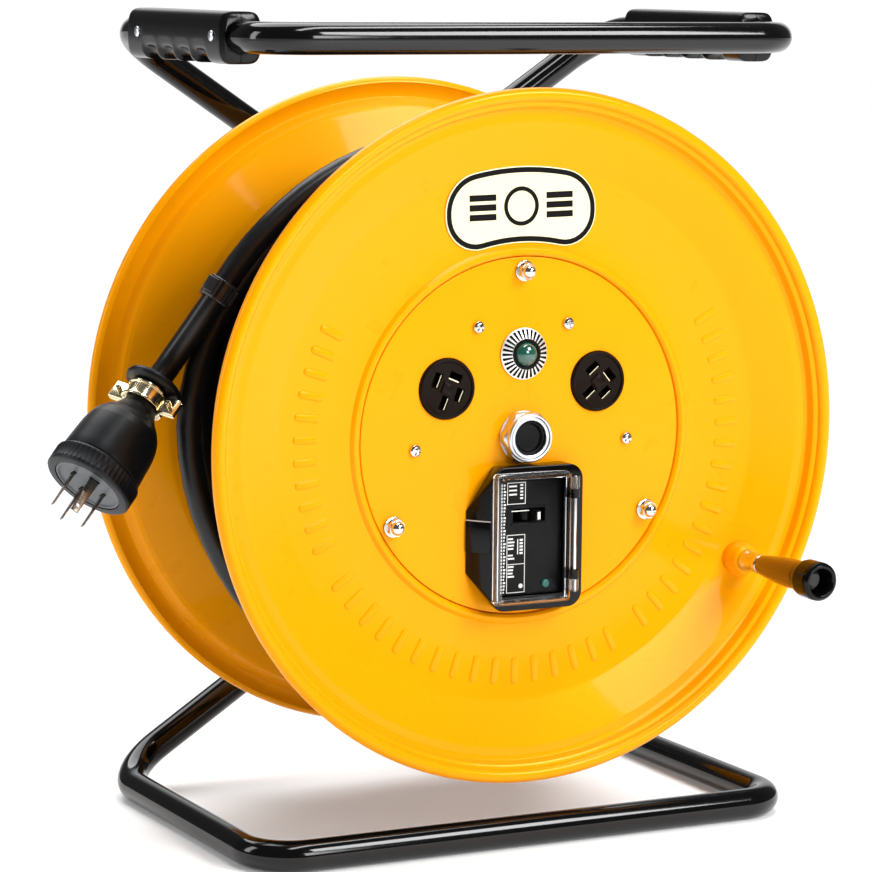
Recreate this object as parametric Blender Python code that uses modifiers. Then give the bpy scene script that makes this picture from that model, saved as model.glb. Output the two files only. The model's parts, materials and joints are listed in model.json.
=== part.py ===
"""Extension cord reel: a steel drum with a socket panel, turning on an axle in a bent tube frame."""

import math

import bmesh
import bpy
from mathutils import Matrix, Vector

# Driving dimensions, in metres.  Local frame: X right, Y up, Z out of the drum's front, axle at 0.
FLANGE_R = 0.210          # outer radius of both drum flanges
DRUM_W = 0.2037           # distance between the two rim planes
SHEET = 0.0016            # flange sheet thickness
WEB_OUT = -0.0195         # flat of the front flange, behind its rim plane
DISH_R = 0.161            # where the flat turns into the cone
CORE_R = 0.106            # winding core
COIL_R = 0.164            # outside of the wound cord
PANEL_R = 0.1083
PANEL_OUT = -0.0193       # front face of the socket panel
PANEL_T = 0.0020
SEAT_R = 0.0950           # hole of the front flange, under the socket panel
HUB_R = 0.019             # hole of the rear flange, round the rear bush
GAP = 0.0003              # clearance between touching pieces

TUBE_R = 0.0094           # frame tube
TUBE_SIDES = 12
DRUM_STEPS = 40
TOP_Z = 0.2393            # handle tube above the axle
BASE_Z = -0.2385          # base tube below the axle
HANDLE_X = 0.175          # side tubes of the handle
BASE_X = 0.178            # side tubes of the base
FRONT_OUT = 0.0008        # front bars
REAR_OUT = -0.2327        # rear diagonals
HUB_X = 0.036             # uprights behind the drum
HUB_BEND_Z = 0.1465       # height where the diagonals meet the uprights
HUB_GAP = 0.0020          # between the butting ends of the two tubes
TUBE_BENDS = (0.040, 0.034, 0.028)   # bend radii from the hub to the front corner
BASE_TILT = math.radians(17.94)   # lays one side of the base tube flat on the floor
HANDLE_TILT = math.radians(11.27)
TUBE_DROP = TUBE_R * math.cos(math.pi / TUBE_SIDES)

AXLE_R = 0.0127
AXLE_BORE = 0.0106
AXLE_FLANGE_R = 0.034
AXLE_FLANGE_T = 0.005
AXLE_FRONT = -0.0081
AXLE_PLUG = (-0.0160, -0.0100)
NUT_FRONT = -0.0075
NUT_BACK = -0.0174
NUT_CORNER_R = 0.0170     # corners of the hexagon before they are turned off
NUT_TRIM_R = 0.0163       # turned off, so that the housing passes under them
HUB_PLATE = (0.055, 0.075)   # half width and half height
HUB_PLATE_T = 0.004
HUB_PLATE_ROUND = 0.012
RUN_CLEAR = 0.00008       # radial running clearance
BUSH_R = 0.0148           # outside of the front bush's sleeve
BUSH_LIP = 0.0155         # its rim, hidden behind the nut
BUSH_LIP_T = 0.0013
FRONT_BUSH_BACK = -0.0400
REAR_BUSH_FRONT = -0.1650
REAR_BUSH_R = 0.0187
REAR_BUSH_LIP = 0.0260

CORD_R = 0.00775
TIE_R = 0.100             # pitch radius of the three tie rods
TIE_ANGLES = (90.0, 210.0, 330.0)
SOCKET_X = 0.0515
SOCKET_Y = 0.031
SOCKET_R = 0.0182
SOCKET_PITCH = 0.0835     # distance between a socket's two mounting screws
STRAP_ANGLE = 60.0        # lean of the socket mounting strap
STRAP_HALF_W = 0.010
STRAP_T = 0.002
SOCKET_DEPTH = 0.030      # behind the panel's face
SOCKET_STAND = 0.0022     # ahead of the panel's face
SLOT_R = 0.0088           # from a socket's middle to each contact slot
SLOTS = ((142.0, 67.0), (51.0, -23.0), (255.0, 67.0), (332.0, 67.0))   # place and lie, in degrees
SLOT_HALF = (0.0040, 0.0020)
SLOT_DEPTH = 0.016
RIGHT_SOCKET_TURN = -27.0
ROD_R = 0.0030            # tie rods and crank spindle
ROD_HOLE_R = 0.0033
SCREW_HOLE_R = 0.0022     # panel screws
LAMP_HOLE_R = 0.0111
LAMP_Y = 0.050
PLATE_TURN = math.radians(1.2)
PLATE_HALF = 0.0509
PLATE_ARCS = (0.1160, 0.1603)     # radii about the axle of its lower and upper edge
PLATE_ROUNDS = (0.0205, 0.0240)   # corner radii at those edges
PLATE_T = 0.0008
CRANK_R = 0.175
CRANK_ANGLE = -29.0
CRANK_REACH = 0.079       # front of the crank cap, ahead of the rim plane
CRANK_BOSS = -0.0055      # front of the boss pressed into the cone
CRANK_BOSS_R = 0.0106
CRANK_GRIP = (0.0120, 0.0600)   # back and front of the turning grip
CRANK_CAP_R = 0.0120
BOSS_BACK = -0.0187

HOUSING_FRONT = -0.005    # front face of the breaker housing
HOUSING_BOX = ((-0.0276, -0.1042), (0.0347, -0.0166))
HOUSING_ROUND = 0.0095
HOUSING_FOOT = ((-0.0200, -0.0174), (-0.0382, -0.0437), (-0.0382, -0.0811), (-0.0200, -0.1030))
HOUSING_KNUCKLES = ((-0.0370, -0.0315), (-0.0865, -0.0810))
COVER_KNUCKLES = ((-0.0312, -0.0240), (-0.0940, -0.0868))
KNUCKLE_R = 0.0026
KNUCKLE_LEG = 0.0046
PIN_R = 0.0010
PIN_ENDS = (-0.0945, -0.0235)
COVER_WALL = 0.0016
COVER_FRONT = 0.003       # front face of the clear cover
COVER_BOX = (-0.0272, -0.0998, 0.0242, -0.0200)
HINGE_X = 0.0275
HINGE_OUT = -0.0015
BREAKER_BOX = (-0.0215, -0.095, 0.0215, -0.025)
BREAKER_FRONT = -0.0075
BREAKER_DEEP = (-0.0215, -0.0885, 0.0215, -0.030)
LEVER_X = -0.001
LEVER_Y = -0.0465
LEVER_OUT = -0.014
BUTTON_X = 0.0105
BUTTON_Y = -0.0890
LEVER_LEAN = 20.0         # degrees to the right of straight out, at rest
LEVER_ROOT_R = 0.0052
LEVER_ROOT_HALF = 0.0036
LEVER_HANDLE = (0.0022, 0.0034, 0.0122)   # half thickness, half width and reach
LEVER_SLOT_HALF = (0.0110, 0.0042)
BUTTON_R = 0.0026
BUTTON_WELL_R = 0.0030

GRIP_START = -0.043
GRIP_END = -0.186
GRIP_W = 0.0135           # half width
GRIP_H = 0.0153           # half height
GRIP_DROP = 0.0010        # grip centre below the tube's
GRIP_SCREWS = (-0.055, -0.168)
SCALLOP_COUNT = 4
SCALLOP_FIRST = 0.033     # from the grip's front end
SCALLOP_STEP = 0.025
SCALLOP_R = 0.011
SCALLOP_DEPTH = 0.0032

PLUG_NECK = Vector((-0.1905, 0.0276, -0.1350))
PLUG_AXIS = Vector((-0.661, -0.701, 0.269)).normalized()
PLUG_LENGTH = 0.081
PLUG_R = 0.0282
PLUG_TURN = math.radians(-13.6)
BLADE_R = 0.0111          # from the plug's axis to each blade
BLADE_LENGTH = 0.0222
CLAMP_TURN = math.radians(-58.0)
CLAMP_RADII = (0.0108, 0.0130)   # inside and outside of the clamp's half rings
CLAMP_HALF = 0.0240       # from the cord's middle to the end of an ear
CLAMP_EAR_T = 0.0026
BAND_HALF = 0.0060        # half width of the band tie
BAND_T = 0.0017

AXLE_HEIGHT = TUBE_DROP - BASE_Z
RIM_Y = -(-REAR_OUT + TUBE_R - CRANK_REACH) / 2


def clear_scene():
    for item in list(bpy.data.objects):
        bpy.data.objects.remove(item, do_unlink=True)


def collection(name):
    group = bpy.data.collections.new(name)
    bpy.context.scene.collection.children.link(group)
    return group


def material(name, colour, roughness, metallic=0.0, alpha=1.0):
    found = bpy.data.materials.get(name)
    if found:
        return found
    made = bpy.data.materials.new(name)
    made.use_nodes = True
    shader = made.node_tree.nodes["Principled BSDF"]
    shader.inputs["Base Color"].default_value = (*colour, 1.0)
    shader.inputs["Roughness"].default_value = roughness
    shader.inputs["Metallic"].default_value = metallic
    shader.inputs["Alpha"].default_value = alpha
    return made


clear_scene()
PARTS = collection("extension_cord_reel")
CUTTERS = collection("cutters")

YELLOW = ("yellow_paint", (0.95, 0.52, 0.01), 0.25, 0.0)
BLACK_TUBE = ("black_tube_paint", (0.010, 0.010, 0.011), 0.15, 0.0)
BLACK_PLASTIC = ("black_plastic", (0.020, 0.020, 0.021), 0.35, 0.0)
BAKELITE = ("dark_brown_plastic", (0.030, 0.020, 0.016), 0.30, 0.0)
RUBBER = ("black_rubber", (0.018, 0.018, 0.019), 0.55, 0.0)
ZINC = ("zinc_plated_steel", (0.70, 0.70, 0.69), 0.30, 1.0)
CHROME = ("chrome", (0.80, 0.80, 0.80), 0.10, 1.0)
BRASS = ("pale_brass", (0.85, 0.74, 0.48), 0.25, 1.0)
NYLON = ("white_nylon", (0.80, 0.79, 0.75), 0.45, 0.0)
CLEAR = ("clear_plastic", (0.90, 0.90, 0.90), 0.08, 0.0)
GREEN = ("green_plastic", (0.03, 0.25, 0.16), 0.20, 0.0)
CREAM = ("cream_enamel", (0.90, 0.86, 0.68), 0.40, 0.0)
BROWN = ("brown_handle", (0.16, 0.05, 0.02), 0.25, 0.0)
GREY = ("grey_plastic", (0.22, 0.23, 0.24), 0.45, 0.0)


def axis_empty(name, parent, location, rotation=(0.0, 0.0, 0.0)):
    empty = bpy.data.objects.new(name, None)
    PARTS.objects.link(empty)
    empty.parent = parent
    empty.location = location
    empty.rotation_euler = rotation
    return empty


STAND = axis_empty("stand_axis", None, (0.0, RIM_Y, AXLE_HEIGHT), (math.pi / 2, 0.0, 0.0))
DRUM = axis_empty("drum_axis", STAND, (0.0, 0.0, 0.0))


def finish(item, paint, parent, location=(0.0, 0.0, 0.0), rotation=(0.0, 0.0, 0.0)):
    """Give a new object its own material, its parent and its place, and shade it smooth."""
    item.data.materials.clear()
    item.data.materials.append(material(f"{item.name}_{paint[0]}", *paint[1:]))
    item.parent = parent
    item.location = location
    item.rotation_euler = rotation
    if item.type == "MESH":
        item.data.shade_smooth()
        item.data.set_sharp_from_angle(angle=math.radians(35))
    return item


def add_mesh(name, build, group=PARTS):
    """Make a mesh object from a function that fills a bmesh."""
    shape = bmesh.new()
    build(shape)
    mesh = bpy.data.meshes.new(name)
    shape.to_mesh(mesh)
    shape.free()
    item = bpy.data.objects.new(name, mesh)
    group.objects.link(item)
    return item


def as_cutter(item, parent, location=(0.0, 0.0, 0.0), rotation=(0.0, 0.0, 0.0)):
    item.parent = parent
    item.location = location
    item.rotation_euler = rotation
    item.hide_render = True
    item.display_type = "WIRE"
    return item


def boolean(target, tool, operation="DIFFERENCE"):
    step = target.modifiers.new(f"{operation.lower()}_{tool.name}", "BOOLEAN")
    step.operation = operation
    step.object = tool
    step.solver = "EXACT"


def bevel(item, width, segments=2, angle=35.0):
    step = item.modifiers.new("bevel", "BEVEL")
    step.width = width
    step.segments = segments
    step.limit_method = "ANGLE"
    step.angle_limit = math.radians(angle)


def turned(name, profile, steps, group=PARTS, closed=False):
    """Turn a profile of (radius, height) points about Z; a closed profile makes a ring."""
    def build(shape):
        points = [shape.verts.new((radius, 0.0, height)) for radius, height in profile]
        pairs = list(zip(points, points[1:]))
        if closed:
            pairs.append((points[-1], points[0]))
        for first, second in pairs:
            shape.edges.new((first, second))
    item = add_mesh(name, build, group)
    screw = item.modifiers.new("turn", "SCREW")
    screw.axis = "Z"
    screw.angle = 2 * math.pi
    screw.steps = steps
    screw.render_steps = steps
    screw.use_merge_vertices = True
    screw.merge_threshold = 0.00001
    screw.use_smooth_shade = True
    return item


def box(name, low, high, group=PARTS):
    size = [b - a for a, b in zip(low, high)]
    middle = [(a + b) / 2 for a, b in zip(low, high)]

    def build(shape):
        place = Matrix.Translation(middle) @ Matrix.Diagonal((*size, 1.0))
        bmesh.ops.create_cube(shape, size=1.0, matrix=place)
    return add_mesh(name, build, group)


def cylinder(name, radius, low, high, sides=16, group=PARTS):
    """A closed cylinder along Z between two heights."""
    def build(shape):
        place = Matrix.Translation((0.0, 0.0, (low + high) / 2))
        bmesh.ops.create_cone(shape, cap_ends=True, segments=sides, radius1=radius, radius2=radius,
                              depth=high - low, matrix=place)
    return add_mesh(name, build, group)


def outline(name, points, low, high, group=PARTS):
    """A flat outline in XY, extruded along Z between two heights, as a mesh."""
    curve = bpy.data.curves.new(name, "CURVE")
    curve.dimensions = "2D"
    curve.fill_mode = "BOTH"
    curve.extrude = (high - low) / 2
    spline = curve.splines.new("POLY")
    spline.points.add(len(points) - 1)
    for point, (x, y) in zip(spline.points, points):
        point.co = (x, y, 0.0, 1.0)
    spline.use_cyclic_u = True
    item = meshed(name, curve, group)
    item.data.transform(Matrix.Translation((0.0, 0.0, (low + high) / 2)))
    return item


def meshed(name, curve, group=PARTS):
    """Turn a curve into a mesh object with its caps welded on."""
    guide = bpy.data.objects.new(f"{name}_guide", curve)
    group.objects.link(guide)
    graph = bpy.context.evaluated_depsgraph_get()
    mesh = bpy.data.meshes.new_from_object(guide.evaluated_get(graph))
    mesh.name = name
    place = guide.matrix_world.copy()
    bpy.data.objects.remove(guide, do_unlink=True)
    shape = bmesh.new()
    shape.from_mesh(mesh)
    bmesh.ops.remove_doubles(shape, verts=shape.verts, dist=0.000001)
    shape.to_mesh(mesh)
    shape.free()
    item = bpy.data.objects.new(name, mesh)
    group.objects.link(item)
    item.matrix_world = place
    return item


def tube(name, points, radius, resolution, tilt=0.0):
    """A round bar of the given radius along a run of points."""
    curve = bpy.data.curves.new(name, "CURVE")
    curve.dimensions = "3D"
    curve.bevel_depth = radius
    curve.bevel_resolution = resolution
    curve.use_fill_caps = True
    spline = curve.splines.new("POLY")
    spline.points.add(len(points) - 1)
    for point, place in zip(spline.points, points):
        point.co = (*place, 1.0)
        point.tilt = tilt
    return meshed(name, curve)


def arc(centre, radius, start, end, count):
    """Points on a circular arc, angles in degrees."""
    angles = [math.radians(start + (end - start) * i / (count - 1)) for i in range(count)]
    return [(centre[0] + radius * math.cos(a), centre[1] + radius * math.sin(a)) for a in angles]


def rounded_box(low, high, radius, count=4):
    """Outline of a rectangle with round corners, counter-clockwise."""
    (x0, y0), (x1, y1) = low, high
    corners = ((x1 - radius, y1 - radius, 0), (x0 + radius, y1 - radius, 90),
               (x0 + radius, y0 + radius, 180), (x1 - radius, y0 + radius, 270))
    points = []
    for x, y, start in corners:
        points += arc((x, y), radius, start, start + 90, count)
    return points


def filleted(points, radii, count=5, lead=0.002):
    """A bent run: straight lines through the points, with each inner corner on an arc."""
    run = [Vector(points[0])]
    for before, corner, after, radius in zip(points, points[1:], points[2:], radii):
        corner = Vector(corner)
        back = (Vector(before) - corner).normalized()
        ahead = (Vector(after) - corner).normalized()
        half = back.angle(ahead) / 2
        reach = radius / math.tan(half)
        middle = corner + (back + ahead).normalized() * (radius / math.sin(half))
        start = (corner + back * reach - middle).normalized()
        end = (corner + ahead * reach - middle).normalized()
        run.append(corner + back * (reach + lead))
        for i in range(count):
            run.append(middle + start.slerp(end, i / (count - 1)) * radius)
        run.append(corner + ahead * (reach + lead))
    run.append(Vector(points[-1]))
    return run


def polar(radius, degrees):
    return (radius * math.cos(math.radians(degrees)), radius * math.sin(math.radians(degrees)))


# ---------------------------------------------------------------- frame

def frame_tube(name, side_x, level, tilt):
    """Bent tube: upright behind the drum, diagonal, side bar, front bar, and back the same way."""
    sign = math.copysign(1.0, level)
    half = [(HUB_X, sign * HUB_GAP / 2, REAR_OUT), (HUB_X, sign * HUB_BEND_Z, REAR_OUT),
            (side_x, level, REAR_OUT), (side_x, level, FRONT_OUT)]
    points = half + [(-x, y, z) for x, y, z in reversed(half)]
    radii = TUBE_BENDS + TUBE_BENDS[::-1]
    item = tube(name, filleted(points, radii), TUBE_R, (TUBE_SIDES - 4) // 2, tilt)
    return finish(item, BLACK_TUBE, STAND)


HUB_PLATE_BACK = REAR_OUT + TUBE_R + GAP
HUB_PLATE_FRONT = HUB_PLATE_BACK + HUB_PLATE_T
BUSH_FLANGE_BACK = PANEL_OUT + GAP


def hub_plate():
    half_w, half_h = HUB_PLATE
    points = rounded_box((-half_w, -half_h), (half_w, half_h), HUB_PLATE_ROUND)
    item = outline("hub_plate", points, HUB_PLATE_BACK, HUB_PLATE_FRONT)
    hole = cylinder("hub_plate_hole", AXLE_R + GAP, HUB_PLATE_BACK - 0.01, HUB_PLATE_FRONT + 0.01, 32,
                    CUTTERS)
    boolean(item, as_cutter(hole, STAND))
    return finish(item, BLACK_TUBE, STAND)


def axle():
    shoulder = HUB_PLATE_FRONT + GAP
    profile = [(AXLE_BORE, AXLE_FRONT), (AXLE_R, AXLE_FRONT), (AXLE_R, shoulder + AXLE_FLANGE_T),
               (AXLE_FLANGE_R, shoulder + AXLE_FLANGE_T), (AXLE_FLANGE_R, shoulder), (AXLE_R, shoulder),
               (AXLE_R, HUB_PLATE_BACK), (AXLE_BORE, HUB_PLATE_BACK)]
    return finish(turned("axle", profile, 32, closed=True), ZINC, STAND)


def axle_nut():
    """Hexagon lock nut with chamfered corners and a round front ring."""
    item = cylinder("axle_nut", NUT_CORNER_R, NUT_BACK, NUT_FRONT, 6)
    lens = turned("axle_nut_lens", [(0.0, NUT_FRONT), (0.0149, NUT_FRONT), (0.0153, NUT_FRONT - 0.0006),
                                    (0.0153, NUT_FRONT - 0.0036), (NUT_TRIM_R, NUT_FRONT - 0.0048),
                                    (NUT_TRIM_R, NUT_BACK + 0.0006), (0.0158, NUT_BACK), (0.0, NUT_BACK)],
                  32, CUTTERS)
    bore = cylinder("axle_nut_bore", AXLE_R + GAP, NUT_BACK - 0.01, NUT_FRONT + 0.01, 32, CUTTERS)
    boolean(item, as_cutter(lens, STAND), "INTERSECT")
    boolean(item, as_cutter(bore, STAND))
    return finish(item, ZINC, STAND, rotation=(0.0, 0.0, math.pi / 6))


def axle_plug():
    item = cylinder("axle_plug", AXLE_BORE - GAP, *AXLE_PLUG, 24)
    return finish(item, BLACK_PLASTIC, STAND)


def grip_half(name, side, facing):
    """Half of a hand grip shell: side is the frame's side, facing is outwards (1) or inwards (-1)."""
    towards = side * facing
    seam = GAP / 2
    outer = [(GRIP_W * math.cos(math.radians(a)), GRIP_H * math.sin(math.radians(a)) - GRIP_DROP)
             for a in range(-90, 91, 15)]
    inner_r = TUBE_R + GAP
    inner = [(inner_r * math.cos(math.radians(a)), inner_r * math.sin(math.radians(a)))
             for a in range(90, -91, -15)]
    points = [(towards * max(x, seam), y) for x, y in outer + inner]
    item = outline(name, points, GRIP_END, GRIP_START)
    place = (side * HANDLE_X, TOP_Z, 0.0)
    scallop_y = TOP_Z - GRIP_DROP - GRIP_H - SCALLOP_R + SCALLOP_DEPTH
    for index in range(SCALLOP_COUNT):
        out = GRIP_START - SCALLOP_FIRST - SCALLOP_STEP * index
        scallop = cylinder(f"{name}_scallop_{index}", SCALLOP_R, -0.03, 0.03, 16, CUTTERS)
        boolean(item, as_cutter(scallop, STAND, (place[0], scallop_y, out), (0.0, math.pi / 2, 0.0)))
    if facing > 0:
        for index, out in enumerate(GRIP_SCREWS):
            hole = cylinder(f"{name}_hole_{index}", 0.0018, 0.0, 0.0045, 12, CUTTERS)
            turn = math.pi / 2 * side
            boolean(item, as_cutter(hole, STAND, (place[0] + side * (GRIP_W - 0.0027), TOP_Z, out),
                                    (0.0, turn, 0.0)))
    return finish(item, BLACK_PLASTIC, STAND, place)


def grip_screw(name, side, out):
    head = GRIP_W + GAP
    profile = [(0.0, head + 0.0016), (0.0022, head + 0.0013), (0.0034, head + 0.0004), (0.0034, head),
               (0.0015, head), (0.0015, head - 0.0024), (0.0, head - 0.0024)]
    return finish(turned(name, profile, 12), ZINC, STAND, (side * HANDLE_X, TOP_Z, out),
                  (0.0, math.pi / 2 * side, 0.0))


# ---------------------------------------------------------------- drum

RIM_BEAD_R = 0.0042       # rolled edge of both flanges


def rim_bead():
    """Rolled edge, from its inner side over the front and round to the back."""
    return arc((FLANGE_R - RIM_BEAD_R, -RIM_BEAD_R), RIM_BEAD_R, 170, -80, 6)


def front_rim():
    """Closed run of the front sheet: flat, cone, flat ring, wall, rolled edge and back again."""
    front = [(DISH_R, WEB_OUT), (0.1632, -0.0186), (0.1896, -0.0100), (0.1945, -0.0098),
             (0.1972, -0.0090), (0.1988, -0.0046), (0.2006, -0.0036)]
    back = [(0.2022, -0.0070), (0.2004, -0.0076), (0.1984, -0.0112), (0.1890, -0.0116),
            (0.1640, -0.0199), (0.1618, WEB_OUT - SHEET)]
    return front + rim_bead() + back


def rear_rim():
    """The rear sheet's run: a shallower cone, then a deeper wall before the rolled edge."""
    front = [(DISH_R, WEB_OUT), (0.1632, -0.0188), (0.1900, -0.0120), (0.1925, -0.0108),
             (0.1955, -0.0052), (0.1975, -0.0040), (0.2010, -0.0038)]
    back = [(0.2018, -0.0060), (0.1970, -0.0064), (0.1922, -0.0126), (0.1895, -0.0138),
            (0.1640, -0.0204), (0.1618, WEB_OUT - SHEET)]
    return front + rim_bead() + back


CRANK_X, CRANK_Y = polar(CRANK_R, CRANK_ANGLE)
SEAT_OUT = PANEL_OUT - PANEL_T - GAP


def tie_holes(prefix, target, low, high):
    for index, angle in enumerate(TIE_ANGLES):
        hole = cylinder(f"{prefix}_tie_hole_{index}", ROD_HOLE_R, low, high, 12, CUTTERS)
        boolean(target, as_cutter(hole, DRUM, (*polar(TIE_R, angle), 0.0)))


def front_flange():
    seat = [(SEAT_R, SEAT_OUT), (PANEL_R + GAP, SEAT_OUT), (0.1092, -0.0186), (0.1110, -0.0173),
            (0.1132, -0.0175), (0.1152, WEB_OUT)]
    back = [(0.1158, WEB_OUT - SHEET), (0.1104, SEAT_OUT - SHEET), (SEAT_R, SEAT_OUT - SHEET)]
    item = turned("front_flange", seat + front_rim() + back, DRUM_STEPS, closed=True)
    boss = turned("crank_boss", [(0.0, CRANK_BOSS), (0.0075, CRANK_BOSS), (0.0086, CRANK_BOSS - 0.0012),
                                 (CRANK_BOSS_R, -0.0130), (CRANK_BOSS_R, BOSS_BACK), (0.0, BOSS_BACK)],
                  24, CUTTERS)
    hole = cylinder("crank_hole", ROD_HOLE_R, -0.03, 0.01, 16, CUTTERS)
    boolean(item, as_cutter(boss, DRUM, (CRANK_X, CRANK_Y, 0.0)), "UNION")
    boolean(item, as_cutter(hole, DRUM, (CRANK_X, CRANK_Y, 0.0)))
    tie_holes("front_flange", item, -0.03, -0.01)
    return finish(item, YELLOW, DRUM)


def rear_flange():
    """A like pressing turned round, closed in to the rear bush."""
    run = [(HUB_R, WEB_OUT)] + rear_rim() + [(HUB_R, WEB_OUT - SHEET)]
    profile = [(radius, -DRUM_W - height) for radius, height in reversed(run)]
    item = turned("rear_flange", profile, DRUM_STEPS, closed=True)
    tie_holes("rear_flange", item, -DRUM_W, -0.15)
    return finish(item, YELLOW, DRUM)


CORE_FRONT = SEAT_OUT - SHEET - GAP
CORE_BACK = -DRUM_W - WEB_OUT + SHEET + GAP


def drum_core():
    profile = [(CORE_R - SHEET, CORE_FRONT), (CORE_R, CORE_FRONT), (CORE_R, CORE_BACK),
               (CORE_R - SHEET, CORE_BACK)]
    return finish(turned("drum_core", profile, DRUM_STEPS, closed=True), YELLOW, DRUM)


def socket_spots():
    """Centre, side and the two screw places of each socket."""
    spots = []
    for name, side in (("left", -1), ("right", 1)):
        lean = Vector(polar(SOCKET_PITCH / 2, STRAP_ANGLE))
        upper = (side * (SOCKET_X - lean.x), SOCKET_Y + lean.y)
        lower = (side * (SOCKET_X + lean.x), SOCKET_Y - lean.y)
        spots.append((name, side, upper, lower))
    return spots


def socket_panel():
    item = cylinder("socket_panel", PANEL_R, PANEL_OUT - PANEL_T, PANEL_OUT, DRUM_STEPS)
    low, high = PANEL_OUT - PANEL_T - 0.01, PANEL_OUT + 0.01
    cuts = [(BUSH_R + GAP, 0.0, 0.0, 32), (LAMP_HOLE_R, 0.0, LAMP_Y, 24)]
    for name, side, upper, lower in socket_spots():
        cuts.append((SOCKET_R + GAP, side * SOCKET_X, SOCKET_Y, 32))
        cuts += [(SCREW_HOLE_R, *place, 12) for place in (upper, lower)]
    for index, (radius, x, y, sides) in enumerate(cuts):
        hole = cylinder(f"panel_hole_{index}", radius, low, high, sides, CUTTERS)
        boolean(item, as_cutter(hole, DRUM, (x, y, 0.0)))
    x0, y0, x1, y1 = BREAKER_DEEP
    window = box("panel_window", (x0 - GAP, y0 - GAP, low), (x1 + GAP, y1 + GAP, high), CUTTERS)
    boolean(item, as_cutter(window, DRUM))
    tie_holes("panel", item, low, high)
    return finish(item, YELLOW, DRUM)


def tie_rod(name, angle):
    back = -DRUM_W - WEB_OUT - GAP
    tip = PANEL_OUT + 0.0061
    profile = [(0.0, tip), (ROD_R, tip), (ROD_R, back), (0.0055, back), (0.0055, back - 0.0030),
               (0.0042, back - 0.0042), (0.0, back - 0.0042)]
    return finish(turned(name, profile, 12), ZINC, DRUM, (*polar(TIE_R, angle), 0.0))


def dome_nut(name, angle):
    """Cap nut: washer face, hexagon and dome, with a blind hole for the tie rod."""
    back = PANEL_OUT + GAP
    item = cylinder(name, 0.0056, back + 0.0006, back + 0.0062, 6)
    dome = turned(f"{name}_dome", [(0.0, back + 0.0102), (0.0022, back + 0.0098), (0.0038, back + 0.0084),
                                   (0.0047, back + 0.0058), (0.0047, back + 0.0004), (0.0, back + 0.0004)],
                  12, CUTTERS)
    washer = cylinder(f"{name}_washer", 0.0063, back, back + 0.0014, 16, CUTTERS)
    bore = cylinder(f"{name}_bore", ROD_HOLE_R, back - 0.005, back + 0.0066, 12, CUTTERS)
    place = (*polar(TIE_R, angle), 0.0)
    boolean(item, as_cutter(dome, DRUM, place), "UNION")
    boolean(item, as_cutter(washer, DRUM, place), "UNION")
    boolean(item, as_cutter(bore, DRUM, place))
    return finish(item, CHROME, DRUM, place)


def panel_screw(name, place):
    face = PANEL_OUT + GAP
    profile = [(0.0, face + 0.0026), (0.0020, face + 0.0024), (0.0036, face + 0.0014), (0.0041, face),
               (0.0019, face), (0.0019, face - 0.0090), (0.0, face - 0.0090)]
    return finish(turned(name, profile, 12), CHROME, DRUM, (*place, 0.0))


def socket(name, side, upper, lower):
    """Round socket body with its mounting strap behind the panel and four contact slots."""
    back = PANEL_OUT - SOCKET_DEPTH
    front = PANEL_OUT + SOCKET_STAND
    item = cylinder(f"socket_{name}", SOCKET_R, back, front, 32)
    strap_front = PANEL_OUT - PANEL_T - GAP
    reach = SOCKET_PITCH / 2 + 0.006
    strap = box(f"socket_{name}_strap", (-reach, -STRAP_HALF_W, strap_front - STRAP_T),
                (reach, STRAP_HALF_W, strap_front), CUTTERS)
    centre = (side * SOCKET_X, SOCKET_Y, 0.0)
    lean = math.radians(180 - STRAP_ANGLE if side > 0 else STRAP_ANGLE)
    boolean(item, as_cutter(strap, DRUM, centre, (0.0, 0.0, lean)), "UNION")
    for index, place in enumerate((upper, lower)):
        hole = cylinder(f"socket_{name}_hole_{index}", SCREW_HOLE_R, -0.04, 0.0, 12, CUTTERS)
        boolean(item, as_cutter(hole, DRUM, (*place, 0.0)))
    turn = RIGHT_SOCKET_TURN if side > 0 else 0.0
    half_l, half_w = SLOT_HALF
    for index, (angle, lie) in enumerate(SLOTS):
        x, y = polar(SLOT_R, angle + turn)
        slot = box(f"socket_{name}_slot_{index}", (-half_l, -half_w, front - SLOT_DEPTH),
                   (half_l, half_w, front + 0.004), CUTTERS)
        boolean(item, as_cutter(slot, DRUM, (centre[0] + x, centre[1] + y, 0.0),
                                (0.0, 0.0, math.radians(lie + turn))))
    return finish(item, BAKELITE, DRUM, centre)


def lamp():
    face = PANEL_OUT + GAP
    bezel = turned("lamp_bezel", [(0.0, face + 0.0004), (0.0080, face + 0.0004), (0.0080, face + 0.0040),
                                  (0.0095, face + 0.0040), (0.0152, face + 0.0012), (0.0157, face),
                                  (0.0108, face), (0.0108, face - 0.026), (0.0, face - 0.026)], 24)
    finish(bezel, CHROME, DRUM, (0.0, LAMP_Y, 0.0))
    base = face + 0.0004 + GAP
    lens_r = 0.0076
    dome = [(lens_r * math.cos(math.radians(a)), base + 0.003 + lens_r * 0.85 * math.sin(math.radians(a)))
            for a in range(90, -1, -18)]
    dome[0] = (0.0, dome[0][1])
    lens = turned("lamp_lens", dome + [(lens_r, base), (0.0, base)], 20)
    return finish(lens, GREEN, DRUM, (0.0, LAMP_Y, 0.0))


def front_bush():
    inner = AXLE_R + RUN_CLEAR
    front = BUSH_FLANGE_BACK + BUSH_LIP_T
    profile = [(inner, front), (BUSH_LIP, front), (BUSH_LIP, BUSH_FLANGE_BACK),
               (BUSH_R, BUSH_FLANGE_BACK), (BUSH_R, FRONT_BUSH_BACK), (inner, FRONT_BUSH_BACK)]
    return finish(turned("front_bush", profile, 32, closed=True), NYLON, DRUM)


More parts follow.
